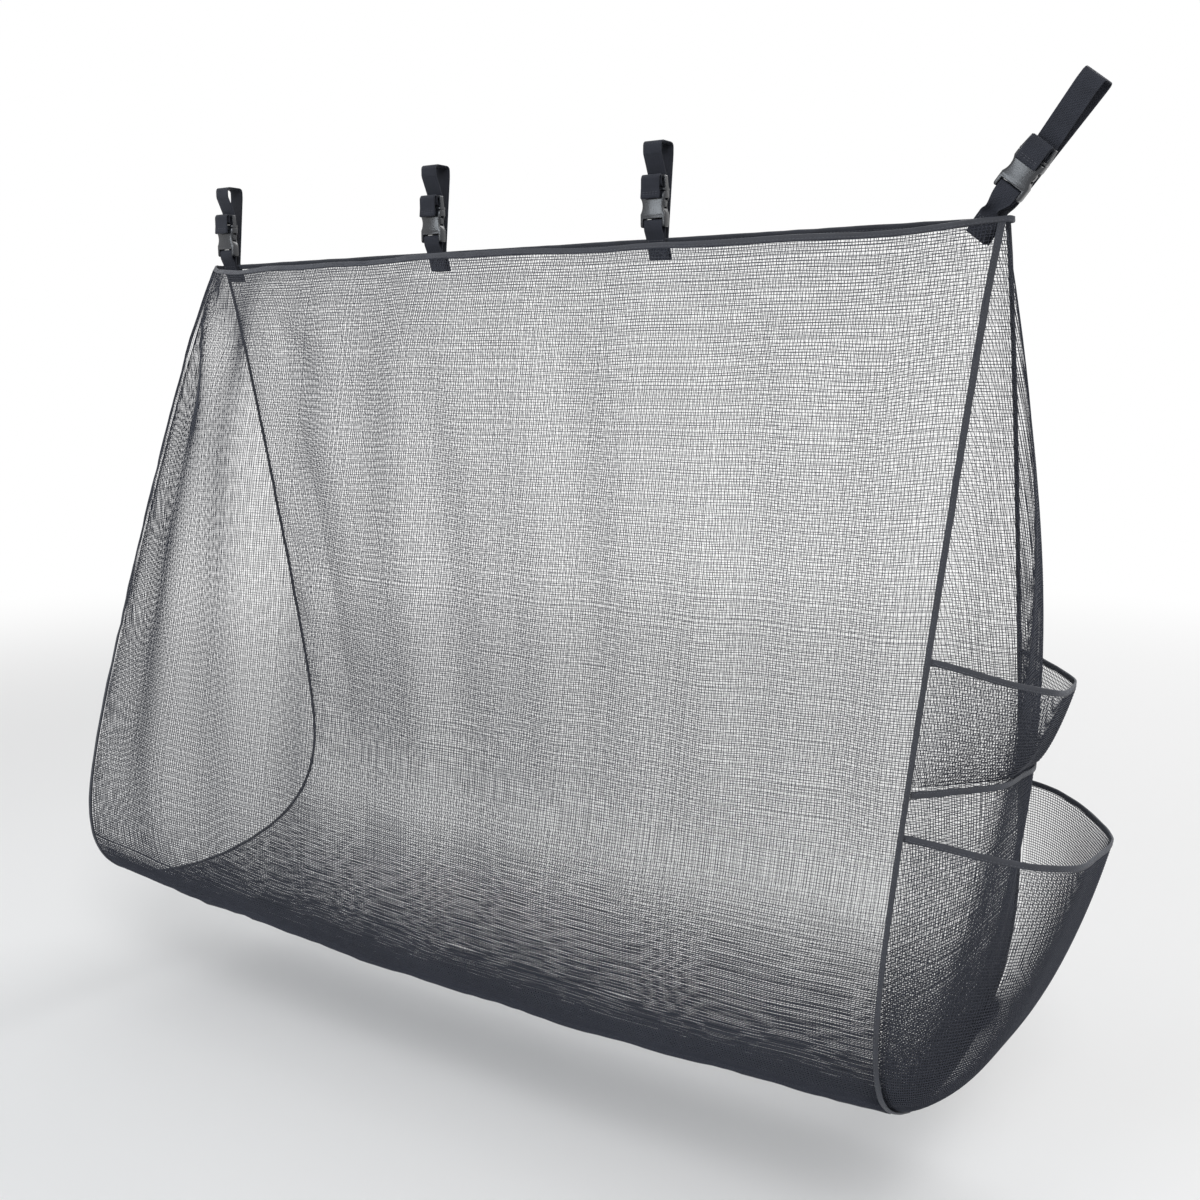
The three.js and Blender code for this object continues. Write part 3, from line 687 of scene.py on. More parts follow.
def surface_normals(points_at, across, station):
    first = points_at(across, station + NUDGE) - points_at(across, station - NUDGE)
    after, before = (np.clip(across + step, -1, 1) for step in (NUDGE, -NUDGE))
    second = points_at(after, station) - points_at(before, station)
    return unit(np.cross(first, second))


def end_net(name, side):
    def points_at(across, station):
        return end_point(side, across, station)

    parts = []
    for across, station, thread in panel_lines():
        normal = surface_normals(points_at, across, station)
        normal = normal * np.sign(normal[:, :1] * side)
        parts.append(strands(points_at(across, station)[None], normal[None], **thread))
    net = cloth_object(name, *joined(parts), net_finish)
    columns, rows = np.linspace(-1, 1, AREA_GRID[0]), np.linspace(hem_station, END_FOOT, AREA_GRID[1])
    area = cloth_area(points_at(*grid_of(columns, rows)))
    print(name, "area", round(area, 3), "m2, faces", len(net.data.polygons))
    return net, area


left_net, left_area = end_net("left_end_net", -1)
right_net, right_area = end_net("right_end_net", 1)

# %% [markdown]
# The pockets are cut wider than the panel behind them and gathered into its seams, so their threads fan with
# the pocket's own shape.

# %% Pocket nets
POCKET_SEGMENT = 0.014
MIDDLE_POINTS = 40
RIM_POINTS = 200
RIM_REACH = 0.999
SLOPE_LIMIT = 0.99  # slopes are read inside this share of the width
EDGE_HEIGHT = 0.01
SLOPE_EDGE = 0.004  # and this far inside the top and bottom


def pocket_net(name, pocket):
    def points_at(across, height):
        return pocket_point(pocket, across, height)

    middle = points_at(np.zeros(MIDDLE_POINTS), np.linspace(EDGE_HEIGHT, 1 - EDGE_HEIGHT, MIDDLE_POINTS))
    tall = float(walk(middle)[-1])
    rim_shares = np.linspace(-RIM_REACH, RIM_REACH, RIM_POINTS)
    walked = walk(points_at(rim_shares, np.full(RIM_POINTS, 1 - EDGE_HEIGHT)))
    wide = float(walked[-1])

    def even_across(pitch):
        return np.interp(np.linspace(0, 1, round(wide / pitch) + 1), walked / wide, rim_shares)

    def even_up(pitch):
        return np.linspace(0, 1, round(tall / pitch) + 1)

    wales = grid_of(even_across(NET_PITCH), even_up(POCKET_SEGMENT))
    courses = np.meshgrid(even_across(POCKET_SEGMENT), even_up(NET_PITCH))
    parts = []
    for (across, height), thread in ((wales, WALE), (courses, COURSE)):
        high = np.clip(height, SLOPE_EDGE, 1 - SLOPE_EDGE)
        slope_up = points_at(across, high + NUDGE) - points_at(across, high - NUDGE)
        inner = np.clip(across, -SLOPE_LIMIT, SLOPE_LIMIT)
        slope_across = points_at(inner + NUDGE, high) - points_at(inner - NUDGE, high)
        normal = unit(np.cross(slope_across, slope_up))
        normal = normal * np.sign(normal[..., :1] + TINY)
        parts.append(strands(points_at(across, height), normal, **thread))
    net = cloth_object(name, *joined(parts), net_finish)
    columns = np.interp(np.linspace(0, 1, AREA_GRID[1]), walked / wide, rim_shares)
    area = cloth_area(points_at(*grid_of(columns, np.linspace(0, 1, AREA_GRID[0]))))
    print(name, "is cut", round(wide, 3), "by", round(area / wide, 3), "m")
    return net, (wide, area / wide)


upper_net, upper_cut = pocket_net("upper_pocket_net", UPPER_POCKET)
lower_net, lower_cut = pocket_net("lower_pocket_net", LOWER_POCKET)

# %% [markdown]
# Binding tape is folded over the net's raw edge and sewn through, so in section it is a flat loop: round at
# the fold, pinched along the stitch line. The loop is carried along the edge, with the small uneven pucker
# that sewing leaves.

# %% Binding tapes
PUCKER = 0.00035
RING_STEP = 0.006
CUT_ANGLE = math.radians(60)
STITCH_PLACE = -0.42  # of the half width, towards the cloth
STITCH_SEAT = 0.74  # of the half thickness
WIDTH_PLAY = 0.03
FOLD_PLAY = 0.10
PUCKER_SPAN, WIDTH_SPAN, FOLD_SPAN = 3, 4, 2  # rings from one uneven spot to the next
TACK_PLACES = (0.0030, 0.0042, 0.0054)  # from a tape's end
TACK_SHARE = 0.85
TACK_LIFT = 1.04
TACK_POINTS = 5
CORNER_POINTS = 12
HEM_STEP = 0.002
ACROSS_COUNT = 400
SIDE_COUNT = 700
POCKET_TAPE = CLOTH * 2
POCKET_SEAM_TAPE = CLOTH * 1.4


def closed_section(half):
    """A section from the points of its upper half, which is mirrored below."""
    return np.array(half + [(-1.0, 0.0)] + [(wide, -thick) for wide, thick in half[:0:-1]])


folded_edge = [(1.0, 0.0), (0.93, 0.62), (0.75, 0.96), (0.2, 1.0), (-0.2, 0.92)]
TAPE_SECTION = closed_section(folded_edge + [(STITCH_PLACE, 0.7), (-0.66, 0.95), (-0.9, 0.8)])


def read_at(spots, walked, values):
    """Vectors known at the walked lengths, read at other lengths."""
    return np.stack([np.interp(spots, walked, values[:, k]) for k in range(3)], axis=-1)


def even_walk(*edges, step=RING_STEP):
    """Edges of one strip, resampled together at an even step along their middle."""
    middle = sum(edges) / len(edges)
    walked = walk(middle)
    spots = np.linspace(0, walked[-1], max(LEAST_POINTS, round(walked[-1] / step) + 1))
    return (*(read_at(spots, walked, edge) for edge in edges), spots)


def slow_noise(count, step):
    rough = random.normal(size=count // step + 3)
    return np.interp(np.arange(count) / step, np.arange(len(rough)), rough)


def strip(name, centre, wide, thick, spots, section, finish, cup=None):
    """A closed strip: a section carried along centre, wide and thick being its half axes as vectors, and cup,
    if any, how far its edges curl."""
    sides = len(section)
    rings = centre[:, None] + wide[:, None] * section[None, :, :1] + thick[:, None] * section[None, :, 1:]
    if cup is not None:
        rings = rings + cup[:, None] * section[None, :, :1] ** 2
    count = len(centre)
    index = np.arange(count * sides).reshape(count, sides)
    after = np.roll(index, -1, axis=1)
    quads = np.stack([index[:-1], after[:-1], after[1:], index[1:]], axis=-1).reshape(-1, 4)
    outline = np.vstack([section, section[:1]]) * [np.linalg.norm(wide[0]), np.linalg.norm(thick[0])]
    reach = walk(outline)
    round_walk = reach[-1] / 4 - np.abs(reach - reach[-1] / 2)
    pairs = np.stack(grid_of(spots, round_walk), axis=-1)
    uv = np.stack([pairs[:-1, :-1], pairs[:-1, 1:], pairs[1:, 1:], pairs[1:, :-1]], axis=2)
    points = np.vstack([rings.reshape(-1, 3), centre[:1], centre[-1:]])
    first, last = count * sides, count * sides + 1
    caps = [(first, b, a) for a, b in zip(index[0], after[0])]
    caps += [(last, a, b) for a, b in zip(index[-1], after[-1])]
    made = cloth_object(name, points, quads, np.array(caps), finish, uv)
    made.data.set_sharp_from_angle(angle=CUT_ANGLE)
    return made


seam_lines = []


def tack(centre, wide, thick, spots):
    """Close rows of stitches across both ends of a tape, on both faces."""
    across = np.linspace(-TACK_SHARE, TACK_SHARE, TACK_POINTS)[:, None]
    for place in (*TACK_PLACES, *(spots[-1] - place for place in TACK_PLACES)):
        middle, side, face = (read_at(place, spots, values) for values in (centre, wide, thick))
        out = np.tile(unit(face), (len(across), 1))
        seam_lines.append((middle + side * across + face * TACK_LIFT, out))
        seam_lines.append((middle + side * across - face * TACK_LIFT, -out))


def binding(name, inner, outer, thickness=TAPE_FOLD, step=RING_STEP):
    """A tape between two edges; outer is the folded one. Its stitch lines are kept for the sewing."""
    inner, outer, spots = even_walk(inner, outer, step=step)
    centre = (inner + outer) / 2
    wide = (outer - inner) / 2
    heading = unit(np.gradient(centre, axis=0))
    thick = unit(np.cross(heading, wide)) * thickness / 2
    count = len(centre)
    grain = round(RING_STEP / step)
    centre = centre + unit(thick) * (PUCKER * slow_noise(count, PUCKER_SPAN * grain))[:, None]
    wide = wide * (1 + WIDTH_PLAY * slow_noise(count, WIDTH_SPAN * grain))[:, None]
    thick = thick * (1 + FOLD_PLAY * slow_noise(count, FOLD_SPAN * grain))[:, None]
    for face in (1, -1):
        seam_lines.append((centre + wide * STITCH_PLACE + thick * face * STITCH_SEAT, unit(thick) * face))
    tack(centre, wide, thick, spots)
    return strip(name, centre, wide, thick, spots, TAPE_SECTION, tape_finish)


def corner_turn(side, station):
    """The edge of the front hem's tape as it turns a top corner, from the front net to the back one."""
    front, back = bag_point(side, station), bag_point(side, 2 - station)
    angle = np.linspace(0, np.pi, CORNER_POINTS)[:, None]
    bulge = np.array([side, 0, 0]) * CORNER_GAP / 2
    return (front + back) / 2 + (front - back) / 2 * np.cos(angle) + bulge * np.sin(angle)


def front_hem_edge(station):
    left, right = corner_turn(-1, station), corner_turn(1, station)
    return np.vstack([left[:0:-1], bag_point(hem_shares, station), right[1:]])


hem_shares = np.sin(np.linspace(-1, 1, ACROSS_COUNT) * np.pi / 2)
side_stations = np.linspace(hem_station, 2 - hem_station, SIDE_COUNT)
front_hem = binding("front_hem_tape", front_hem_edge(hem_station), front_hem_edge(0.0), step=HEM_STEP)
back_hem = binding("back_hem_tape", bag_point(hem_shares, 2 - hem_station), bag_point(hem_shares, 2.0))
base_edges = [bag_point(hem_shares, station, END_TAPE_WIDTH) for station in (seam_top, seam_foot)]
base_tape = binding("base_seam_tape", *base_edges)
left_tape, right_tape = (
    binding(name, bag_point(side, side_stations, END_TAPE_WIDTH), bag_point(side, side_stations))
    for name, side in (("left_end_tape", -1), ("right_end_tape", 1))
)
hem_foot = CLEARANCE + CLOTH / 2


def pocket_rim(name, pocket):
    rim = [pocket_point(pocket, hem_shares, 1.0, hem_foot + lift) for lift in (0, TAPE_WIDTH)]
    return binding(name, *rim, POCKET_TAPE)


upper_rim = pocket_rim("upper_pocket_tape", UPPER_POCKET)
lower_rim = pocket_rim("lower_pocket_tape", LOWER_POCKET)
seam_slant = POCKET_CORNER_LIFT * hem_shares * UPPER_POCKET["bottom_slant"]
seam_drops = [UPPER_POCKET["bottom"] + POCKET_SEAM_DROP + drop + seam_slant for drop in (0, TAPE_WIDTH)]
seam_edges = [end_point(1, hem_shares * POCKET_MARGIN, front_station(drop), SEAT_GAP) for drop in seam_drops]
upper_seam = binding("upper_pocket_seam_tape", *seam_edges, POCKET_SEAM_TAPE)
print("stitch lines on the tapes:", len(seam_lines))

# %% [markdown]
# Straps are flat webbing, bent along a path in the strap's own plane. The path is a few corners with rounded
# bends, the same as the solids', walked in small even steps. Strap 4 is longer and leans out to the right.

# %% Strap paths
WEBBING_WIDTH = 0.025
WEBBING_THICKNESS = 0.0016
RAIL_DEPTH = 0.025
SEWN_LENGTH = 0.024
SEW_GAP = 0.0014
BUTT_GAP = 0.0001  # between the front run and the tail, at the plug's upper edge
LAYER_GAP = 0.0004
WRAP_SLACK = 0.0009
SEAT_RADIUS = 0.005
RUN_RADIUS = 0.014
BEND_SHARE = 0.48
FRONT_RUN_SHARE = 0.96
TAIL_LENGTH = 0.026
TAIL_STAND_OFF = 0.006
TAIL_FLICK = 0.0012  # the loose end stands out by this much
TAIL_FALL = 0.6  # of its length before it flicks out
TAIL_HEM = 0.009
HEM_ROWS = (0.45, 0.7)  # of the hem's height
HEM_FOLD = 0.0019
BUCKLE_FORWARD = 0.007
BAR_THICKNESS = 0.004
BAR_HEIGHT = 0.0044
SLOT_FILL = 0.0021  # a sewn tab is never tight on its bar, and rises into the slot
SOCKET_MOUTH = 0.038
PLUG_LENGTH = 0.018
PLUG_THICKNESS = 0.006
FLANGE_LENGTH = 0.0036
LADDER_SLOT = 0.0038
BEND_STEPS = 10
WEB_STEP = 0.0025
TAIL_STEP = 0.0008
TAB_STEP = 0.0015

HALF_WEB = WEBBING_THICKNESS / 2
SEW_OFFSET = TAPE_THICKNESS / 2 + SEW_GAP + HALF_WEB
WRAP_OFFSET = CLEARANCE + WRAP_SLACK + HALF_WEB
BAR_WRAP = BAR_THICKNESS / 2 + WRAP_OFFSET
PLUG_TOP = SOCKET_MOUTH + CLEARANCE + PLUG_LENGTH
PLUG_WRAP = PLUG_THICKNESS / 2 + WRAP_OFFSET
SEAT_HALF = RAIL_DEPTH / 2 + CLEARANCE + HALF_WEB
INNER_BAR_FOOT = SOCKET_MOUTH + CLEARANCE + FLANGE_LENGTH + LADDER_SLOT

UPRIGHT = {"rise": 0.108, "lift": 0.014, "lean": 0.0, "gather": 0.0}
STRAPS = {number: {"x": x, **UPRIGHT} for number, x in ((1, -0.566), (2, -0.170), (3, 0.170))}
STRAPS[4] = {"x": 0.566, "rise": 0.160, "lift": 0.030, "lean": math.radians(38), "gather": 1.0}


def rounded_path(corners):
    """Corners are (y, z, radius). Returns the path's points."""
    spots = [np.array(corner[:2]) for corner in corners]
    points = [spots[0]]
    for before, spot, after, corner in zip(spots, spots[1:], spots[2:], corners[1:]):
        back, ahead = before - spot, after - spot
        cosine = back @ ahead / (np.linalg.norm(back) * np.linalg.norm(ahead))
        half_turn = math.acos(np.clip(cosine, -1, 1)) / 2
        room = min(np.linalg.norm(back), np.linalg.norm(ahead)) * BEND_SHARE
        reach = min(corner[2] / math.tan(half_turn), room)
        start, end = spot + unit(back) * reach, spot + unit(ahead) * reach
        for share in np.linspace(0, 1, BEND_STEPS):
            points.append(start * (1 - share) ** 2 + spot * 2 * share * (1 - share) + end * share**2)
    points.append(spots[-1])
    return np.array(points)


def cloth_y(along, lean, side):
    """How far back the cloth lies under a strap's edge, at a length along it below the hem."""
    drop = along * math.cos(lean) + side * WEBBING_WIDTH / 2 * math.sin(lean)
    return float(profile_y(2 - front_station(max(drop, 0.0))))


def sewn_run(lean, side, offset):
    """A strap's corners over the cloth, from the hem down."""
    drops = (0, SEWN_LENGTH / 2, SEWN_LENGTH)
    return [(cloth_y(drop, lean, side) + offset, -drop, RUN_RADIUS) for drop in drops]


def tab_path(hang):
    bar_top = hang["lift"] + BAR_HEIGHT / 2 + WRAP_OFFSET + SLOT_FILL
    bar_foot = hang["lift"] - BAR_HEIGHT

    def layer(offset, wrap):
        """One half of the fold, from the bar down."""
        y = wrap - BUCKLE_FORWARD
        return [(y, bar_top, BAR_WRAP), (y, bar_foot, RUN_RADIUS)] + sewn_run(hang["lean"], -1, offset)

    front_offset = -SEW_OFFSET - WEBBING_THICKNESS - LAYER_GAP
    return layer(-SEW_OFFSET, BAR_WRAP)[::-1] + layer(front_offset, -BAR_WRAP)


def strap_stops(hang):
    entry = np.array([PLUG_WRAP - BUCKLE_FORWARD, hang["lift"] + PLUG_TOP + HALF_WEB])
    shoulder = np.array([-SEAT_HALF, hang["rise"] - RAIL_DEPTH / 2])
    return entry, shoulder, entry + (shoulder - entry) * FRONT_RUN_SHARE


def loop_path(hang):
    _, shoulder, split = strap_stops(hang)
    rise = hang["rise"]
    seat = rise + HALF_WEB
    return [
        (*split, RUN_RADIUS),
        (*shoulder, RUN_RADIUS),
        (-SEAT_HALF, seat, SEAT_RADIUS),
        (SEAT_HALF, seat, SEAT_RADIUS),
        (SEAT_HALF, rise - RAIL_DEPTH / 2, RUN_RADIUS),
        *sewn_run(hang["lean"], 1, SEW_OFFSET),
    ]


def tail_path(hang):
    entry, _, _ = strap_stops(hang)
    turn_under = hang["lift"] + INNER_BAR_FOOT - WRAP_OFFSET
    front = -PLUG_WRAP - BUCKLE_FORWARD
    droop = front - TAIL_STAND_OFF
    crest = hang["lift"] + PLUG_TOP
    foot = crest - TAIL_LENGTH
    flick = droop - TAIL_FLICK
    return [
        (*entry, PLUG_WRAP),
        (entry[0], turn_under, PLUG_WRAP),
        (front, turn_under, PLUG_WRAP),
        (front, crest - TAIL_STAND_OFF / 3, PLUG_WRAP),
        (front - TAIL_STAND_OFF / 2, crest + HALF_WEB, PLUG_WRAP),
        (droop, crest - TAIL_STAND_OFF / 2, PLUG_WRAP),
        (droop, crest - TAIL_LENGTH * TAIL_FALL, RUN_RADIUS),
        (flick, foot, HALF_WEB),
        (flick + HEM_FOLD, foot, HALF_WEB),
        (droop + HEM_FOLD, foot + TAIL_HEM, RUN_RADIUS),
    ]


# %% [markdown]
# Webbing has a soft selvedge, so its section is a flat bar with round edges. The tabs and the strap's lower
# end get a sewn box with a cross. Strap 4 is pulled sideways, so it gathers where it leaves the hem.

# %% Straps
web_edge = [(1.0, 0.0), (0.985, 0.6), (0.95, 0.95)]
web_face = [(wide, 1.0) for wide in np.linspace(0.75, -0.75, 7)]
WEB_SECTION = closed_section(web_edge + web_face + [(-wide, thick) for wide, thick in web_edge[:0:-1]])
BOX_MARGIN = 0.0028
BOX_POINTS = 16
BOX_CORNER = WEBBING_WIDTH / 2 - BOX_MARGIN
STITCH_RISE = 0.0001
NECK_HEIGHT = 0.009  # above the hem, where a strap that is pulled sideways gathers
NECK_SPREAD = 0.009
NECK_NARROWING = 0.40
NECK_CUP = 0.0075


def turned(hang, vectors):
    """A strap's own directions in the bag's frame."""
    cosine, sine = math.cos(hang["lean"]), math.sin(hang["lean"])
    return vectors @ np.array([[cosine, 0, -sine], [0, 1, 0], [sine, 0, cosine]])


def placed(hang, points):
    return turned(hang, points) + np.array([hang["x"], 0, HEM_Z])


def web_strip(name, hang, path, step=WEB_STEP, woven=0.0, gather=0.0):
    """A length of webbing along a path; woven is how far its weave has run before it starts, and gather how
    far it is pinched just above the hem, with its edges curled forwards, or backwards if below 0."""
    flat = np.column_stack([np.zeros(len(path)), path])
    flat, spots = even_walk(flat, step=step)
    heading = unit(np.gradient(flat, axis=0))
    wide = np.tile([WEBBING_WIDTH / 2, 0, 0], (len(flat), 1))
    thick = unit(np.cross(heading, wide)) * HALF_WEB
    height = flat[:, 2]
    neck = np.exp(-(((height - NECK_HEIGHT) / NECK_SPREAD) ** 2))
    pinch = abs(gather) * neck * ease(height, 0, NECK_HEIGHT)
    wide = wide * (1 - NECK_NARROWING * pinch)[:, None]
    cup = np.outer(pinch, [0, -NECK_CUP * np.sign(gather), 0])
    wide, thick, cup = (turned(hang, values) for values in (wide, thick, cup))
    return strip(name, placed(hang, flat), wide, thick, spots + woven, WEB_SECTION, webbing_finish, cup)


def sewn_box(hang, path, low, high, face):
    """Stitch lines of a box with a cross, on a stretch of webbing whose height runs from low to high."""
    order = np.argsort(path[:, 1])
    ends = [(-BOX_CORNER, low), (BOX_CORNER, low), (BOX_CORNER, high), (-BOX_CORNER, high)]
    runs = [*zip(ends, ends[1:] + ends[:1]), (ends[0], ends[2]), (ends[1], ends[3])]
    share = np.linspace(0, 1, BOX_POINTS)
    for (x0, z0), (x1, z1) in runs:
        z = z0 + (z1 - z0) * share
        y = np.interp(z, path[order, 1], path[order, 0]) + face * (HALF_WEB + STITCH_RISE)
        line = np.stack([x0 + (x1 - x0) * share, y, z], axis=1)
        out = np.tile([0.0, face, 0.0], (len(line), 1))
        seam_lines.append((placed(hang, line), turned(hang, out)))


def sewn_hem(hang):
    """Stitch lines of two rows over the turned end of a strap's tail."""
    face_y = -PLUG_WRAP - BUCKLE_FORWARD - TAIL_STAND_OFF - TAIL_FLICK / 2 - HALF_WEB - STITCH_RISE
    foot = hang["lift"] + PLUG_TOP - TAIL_LENGTH
    rows = []
    for share in HEM_ROWS:
        line = np.array([[x, face_y, foot + TAIL_HEM * share] for x in (-BOX_CORNER, 0, BOX_CORNER)])
        rows.append((placed(hang, line), turned(hang, np.tile([0.0, -1.0, 0.0], (len(line), 1)))))
    return rows


strap_pieces = {}
tail_seams = {}
for number, hang in STRAPS.items():
    tab, loop, tail = (rounded_path(path(hang)) for path in (tab_path, loop_path, tail_path))
    entry, _, split = strap_stops(hang)
    front_length = np.linalg.norm(split - entry)
    front = np.array([entry + (split - entry) * BUTT_GAP / front_length, split])
    gather = hang["gather"]
    strap_pieces[number] = {
        "tab": web_strip(f"strap_{number}_tab_webbing", hang, tab, TAB_STEP, gather=gather),
        "loop": web_strip(f"strap_{number}_loop_webbing", hang, loop, woven=front_length, gather=-gather),
        "front_run": web_strip(f"strap_{number}_front_webbing", hang, front),
        "tail": web_strip(f"strap_{number}_tail_webbing", hang, tail, TAIL_STEP),
    }
    tail_seams[number] = sewn_hem(hang)
    for path, face in ((tab, -1), (loop, 1)):
        sewn_box(hang, path[len(path) // 2 :], -SEWN_LENGTH + BOX_MARGIN, -BOX_MARGIN, face)
print("straps woven:", len(strap_pieces))

# %% [markdown]
# Every stitch is a short spindle of thread, modelled once as a few faces and set along the seam lines: down
# one side of each tape, through, and back. All stitches of the bag make one piece, because they never part,
# and those of a tail's hem make another, which moves with its plug.

# %% Stitches
STITCH_PITCH = 0.0042
STITCH_LENGTH = 0.0033
STITCH_WIDTH = 0.0007
STITCH_HEIGHT = 0.0005
SPINDLE = np.array([(1, 0, 0), (0, 1, 0), (-1, 0, 0), (0, -1, 0), (0, 0, 1), (0, 0, -1)], float)
SPINDLE_FACES = np.array(
    [(0, 1, 4), (1, 2, 4), (2, 3, 4), (3, 0, 4), (1, 0, 5), (2, 1, 5), (3, 2, 5), (0, 3, 5)]
)
NO_QUADS = np.zeros((0, 4), int)


def stitched(name, lines):
    """One piece of all the stitches along some lines."""
    parts = []
    for line, out in lines:
        walked = walk(line)
        middles = np.arange(STITCH_PITCH / 2, walked[-1], STITCH_PITCH)
        up = unit(read_at(middles, walked, out))
        ahead = unit(read_at(middles, walked, np.gradient(line, axis=0)))
        aside = np.cross(up, ahead)
        axes = np.stack([ahead * STITCH_LENGTH / 2, aside * STITCH_WIDTH / 2, up * STITCH_HEIGHT / 2], axis=1)
        points = read_at(middles, walked, line)[:, None] + SPINDLE @ axes
        faces = np.arange(len(middles))[:, None, None] * len(SPINDLE) + SPINDLE_FACES
        parts.append((points.reshape(-1, 3), NO_QUADS, faces.reshape(-1, 3)))
    return cloth_object(name, *joined(parts), thread_finish)


stitches = stitched("seam_stitches", seam_lines)
tail_stitches = {number: stitched(f"tail_stitches_{number}", lines) for number, lines in tail_seams.items()}
print("stitches:", len(stitches.data.vertices) // len(SPINDLE))

# %% [markdown]
# The buckles' solids have the right form already, so each is copied, its loose triangles are merged into flat
# faces, and every hard edge gets the small radius that a mould leaves. The radius is what carries the shine.
# A socket's two broad faces also rise a little, inside a sloping margin.

# %% Buckles
EDGE_RADIUS = 0.00045
EDGE_SEGMENTS = 3
MERGE_DISTANCE = 0.00001
FLAT_ANGLE = math.radians(3)
HARD_ANGLE = math.radians(28)


PILLOW_FOOT = 0.0095  # above the webbing bar
PILLOW_MARGIN = 0.0021
PILLOW_RISE = 0.0005
FACE_ON = 0.999
UP = np.array([0, 0, 1.0])


def mode(name):
    bpy.ops.object.mode_set(mode=name)


def pillow_faces(mesh, hang):
    """Raises a socket's broad front and back faces, above its slot and inside a sloping margin."""
    upright = turned(hang, UP)
    foot = placed(hang, np.array([0, 0, hang["lift"] + PILLOW_FOOT]))
    depths = [vertex.co.y for vertex in mesh.vertices]

    def broad(face):
        outer = min(abs(face.center.y - min(depths)), abs(face.center.y - max(depths)))
        return abs(face.normal.y) > FACE_ON and outer < MERGE_DISTANCE

    for face in mesh.polygons:
        face.select = broad(face)
    mode("EDIT")
    bpy.ops.mesh.select_mode(type="FACE")
    bpy.ops.mesh.bisect(plane_co=foot, plane_no=upright)
    mode("OBJECT")
    for face in mesh.polygons:
        face.select = broad(face) and bool(np.dot(np.array(face.center) - foot, upright) > 0)
    mode("EDIT")
    bpy.ops.mesh.inset(thickness=PILLOW_MARGIN, depth=PILLOW_RISE)
    mode("OBJECT")


def moulded(node, name, hang):
    """A copy of a solid with merged faces and eased edges."""
    bpy.ops.object.select_all(action="DESELECT")
    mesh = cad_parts[node].data.copy()
    made = linked(name, mesh)
    bpy.context.view_layer.objects.active = made
    made.select_set(True)
    mode("EDIT")
    bpy.ops.mesh.select_all(action="SELECT")
    bpy.ops.mesh.remove_doubles(threshold=MERGE_DISTANCE)
    bpy.ops.mesh.dissolve_limited(angle_limit=FLAT_ANGLE)
    bpy.ops.mesh.select_all(action="DESELECT")
    mode("OBJECT")
    if node.endswith("socket"):
        pillow_faces(mesh, hang)
    eased = made.modifiers.new("eased_edges", "BEVEL")
    eased.width = EDGE_RADIUS
    eased.segments = EDGE_SEGMENTS
    eased.limit_method = "ANGLE"
    eased.angle_limit = HARD_ANGLE
    bpy.ops.object.modifier_apply(modifier=eased.name)
    bpy.ops.object.shade_smooth_by_angle(angle=HARD_ANGLE)
    mesh.materials.clear()
    mesh.materials.append(plastic_finish.material)
    return made


buckle_pieces = {}
for number, hang in STRAPS.items():
    for half in ("socket", "plug", "prong_left", "prong_right"):
        node = f"buckle_{number}_{half}"
        buckle_pieces[node] = moulded(node, f"{node}_moulding", hang)
print("buckle pieces moulded:", len(buckle_pieces))

# %% [markdown]
# The stage is a pale floor that fades to white, with an even white sky and three large soft lamps. The cool
# one in front stands where the buckles' faces mirror it.

# %% Stage and light
FLOOR_Z = -1.16
FLOOR_SIZE = 60
SHADOW_REACH = 1.6  # the floor turns to plain white beyond this
WHITE_REACH = 4.5
SKY_LIGHT = 0.5

bpy.ops.object.select_all(action="DESELECT")
bpy.ops.mesh.primitive_plane_add(size=FLOOR_SIZE, location=(0, 0, FLOOR_Z))
floor = bpy.context.object
floor.name = "floor"
bpy.ops.object.transform_apply(location=True)
floor_finish = Finish("floor_paper", roughness=0.9, specular_ior_level=0.1)
spot = floor_finish.place()
floor_tone = floor_finish.noise(spot, scale=0.7)
floor_finish.set(base_color=floor_finish.between(floor_tone, (0.88, 0.88, 0.88), (0.91, 0.91, 0.91)))
away = floor_finish.add("ShaderNodeVectorMath", {"operation": "LENGTH"}, {0: spot}, output="Value")
far = floor_finish.add(
    "ShaderNodeMapRange",
    {"interpolation_type": "SMOOTHSTEP"},
    {"Value": away, "From Min": SHADOW_REACH, "From Max": WHITE_REACH},
)


def seen_rays(nodes):
    """1 for rays that show the background itself, and 0 for those that carry its light."""
    path = nodes.add("ShaderNodeLightPath")
    outputs = path.socket.node.outputs
    return path + Value(nodes, outputs["Is Glossy Ray"]) + Value(nodes, outputs["Is Transmission Ray"])


white = floor_finish.add("ShaderNodeEmission", {}, {"Strength": 1.0})
lit = Value(floor_finish, floor_finish.shader.outputs[0])
blended = floor_finish.add("ShaderNodeMixShader", {}, {0: far * seen_rays(floor_finish), 1: lit, 2: white})
floor_finish.feed(floor_finish.tree.nodes["Material Output"].inputs["Surface"], blended)
floor.data.materials.append(floor_finish.material)

world = bpy.data.worlds.new("studio")
bpy.context.scene.world = world
world.use_nodes = True
studio = Nodes(world.node_tree)
sky = world.node_tree.nodes["Background"]
sky.inputs["Color"].default_value = (1, 1, 1, 1)
studio.feed(sky.inputs["Strength"], seen_rays(studio) * (1 - SKY_LIGHT) + SKY_LIGHT)


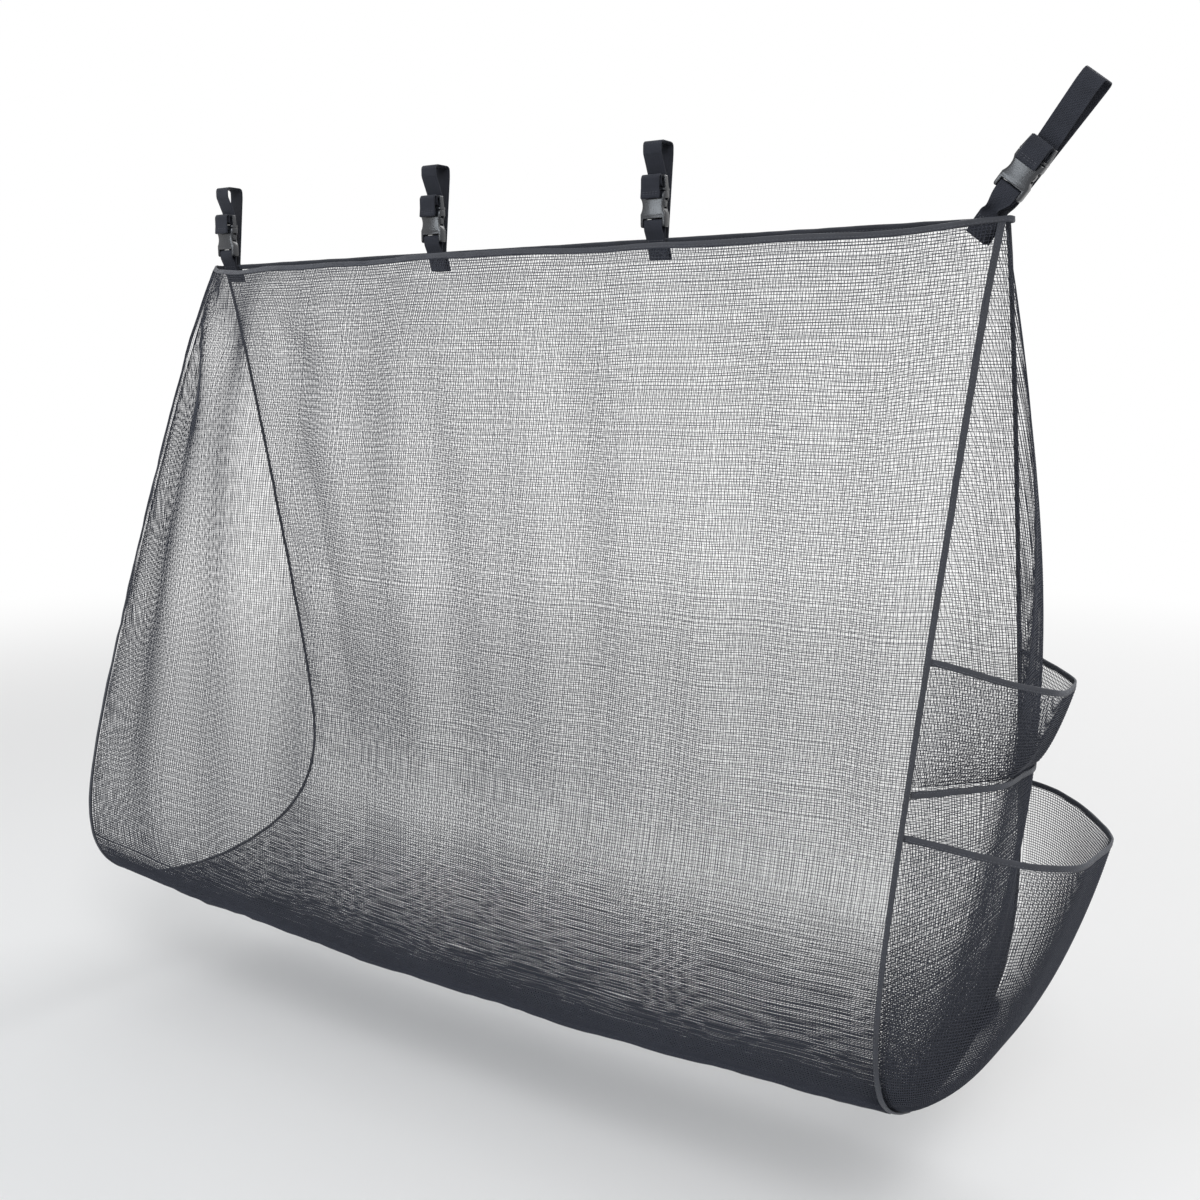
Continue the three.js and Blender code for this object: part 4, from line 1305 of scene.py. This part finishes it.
def soft_lamp(name, place, aim, width, height, power, tint=(1, 1, 1)):
    lamp = bpy.data.lights.new(name, "AREA")
    lamp.shape = "RECTANGLE"
    lamp.size = width
    lamp.size_y = height
    lamp.energy = power
    lamp.color = tint
    made = linked(name, lamp)
    made.location = place
    made.rotation_euler = (Vector(aim) - Vector(place)).to_track_quat("-Z", "Y").to_euler()


BAG_MIDDLE = (0, -0.1, -0.55)
soft_lamp("key", (2.2, -2.6, 2.0), BAG_MIDDLE, 1.6, 1.6, 80)
soft_lamp("fill", (-1.05, -3.3, 0.45), BAG_MIDDLE, 2.0, 0.8, 34, (0.86, 0.93, 1.0))
soft_lamp("rim", (0.5, 2.8, 2.2), BAG_MIDDLE, 1.8, 1.8, 50)
print("stage set")

# %% [markdown]
# Last, each piece is tied to the body it moves with, and the solid it stands for is hidden.

# %% Tie the pieces to the frame
TRAVEL = 0.021

dressed = {
    "front_panel": front_net,
    "back_panel": back_net,
    "left_end_panel": left_net,
    "right_end_panel": right_net,
    "front_hem_binding": front_hem,
    "back_hem_binding": back_hem,
    "base_seam_binding": base_tape,
    "left_end_binding": left_tape,
    "right_end_binding": right_tape,
    "upper_pocket": upper_net,
    "upper_pocket_hem": upper_rim,
    "upper_pocket_seam": upper_seam,
    "lower_pocket": lower_net,
    "lower_pocket_hem": lower_rim,
}


def tie(piece, body, node=None):
    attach(piece, body)
    if node:
        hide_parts(node)


for node, piece in dressed.items():
    tie(piece, "bag", node)
tie(stitches, "bag")

for number, pieces in strap_pieces.items():
    hang = STRAPS[number]
    entry, _, split = strap_stops(hang)
    for part, piece in pieces.items():
        tie(piece, f"plug_{number}" if part == "tail" else "bag", f"strap_{number}_{part}")
    tie(tail_stitches[number], f"plug_{number}")
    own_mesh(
        pieces["front_run"],
        f"release_{number}",
        axis=tuple(turned(hang, UP)),
        anchor=tuple(placed(hang, np.array([0, *split]))),
        keep=1 - TRAVEL / (split[1] - entry[1]),
    )

for node, piece in buckle_pieces.items():
    number, half = node.split("_", 2)[1:]
    tie(piece, "bag" if half == "socket" else f"{half}_{number}", node)
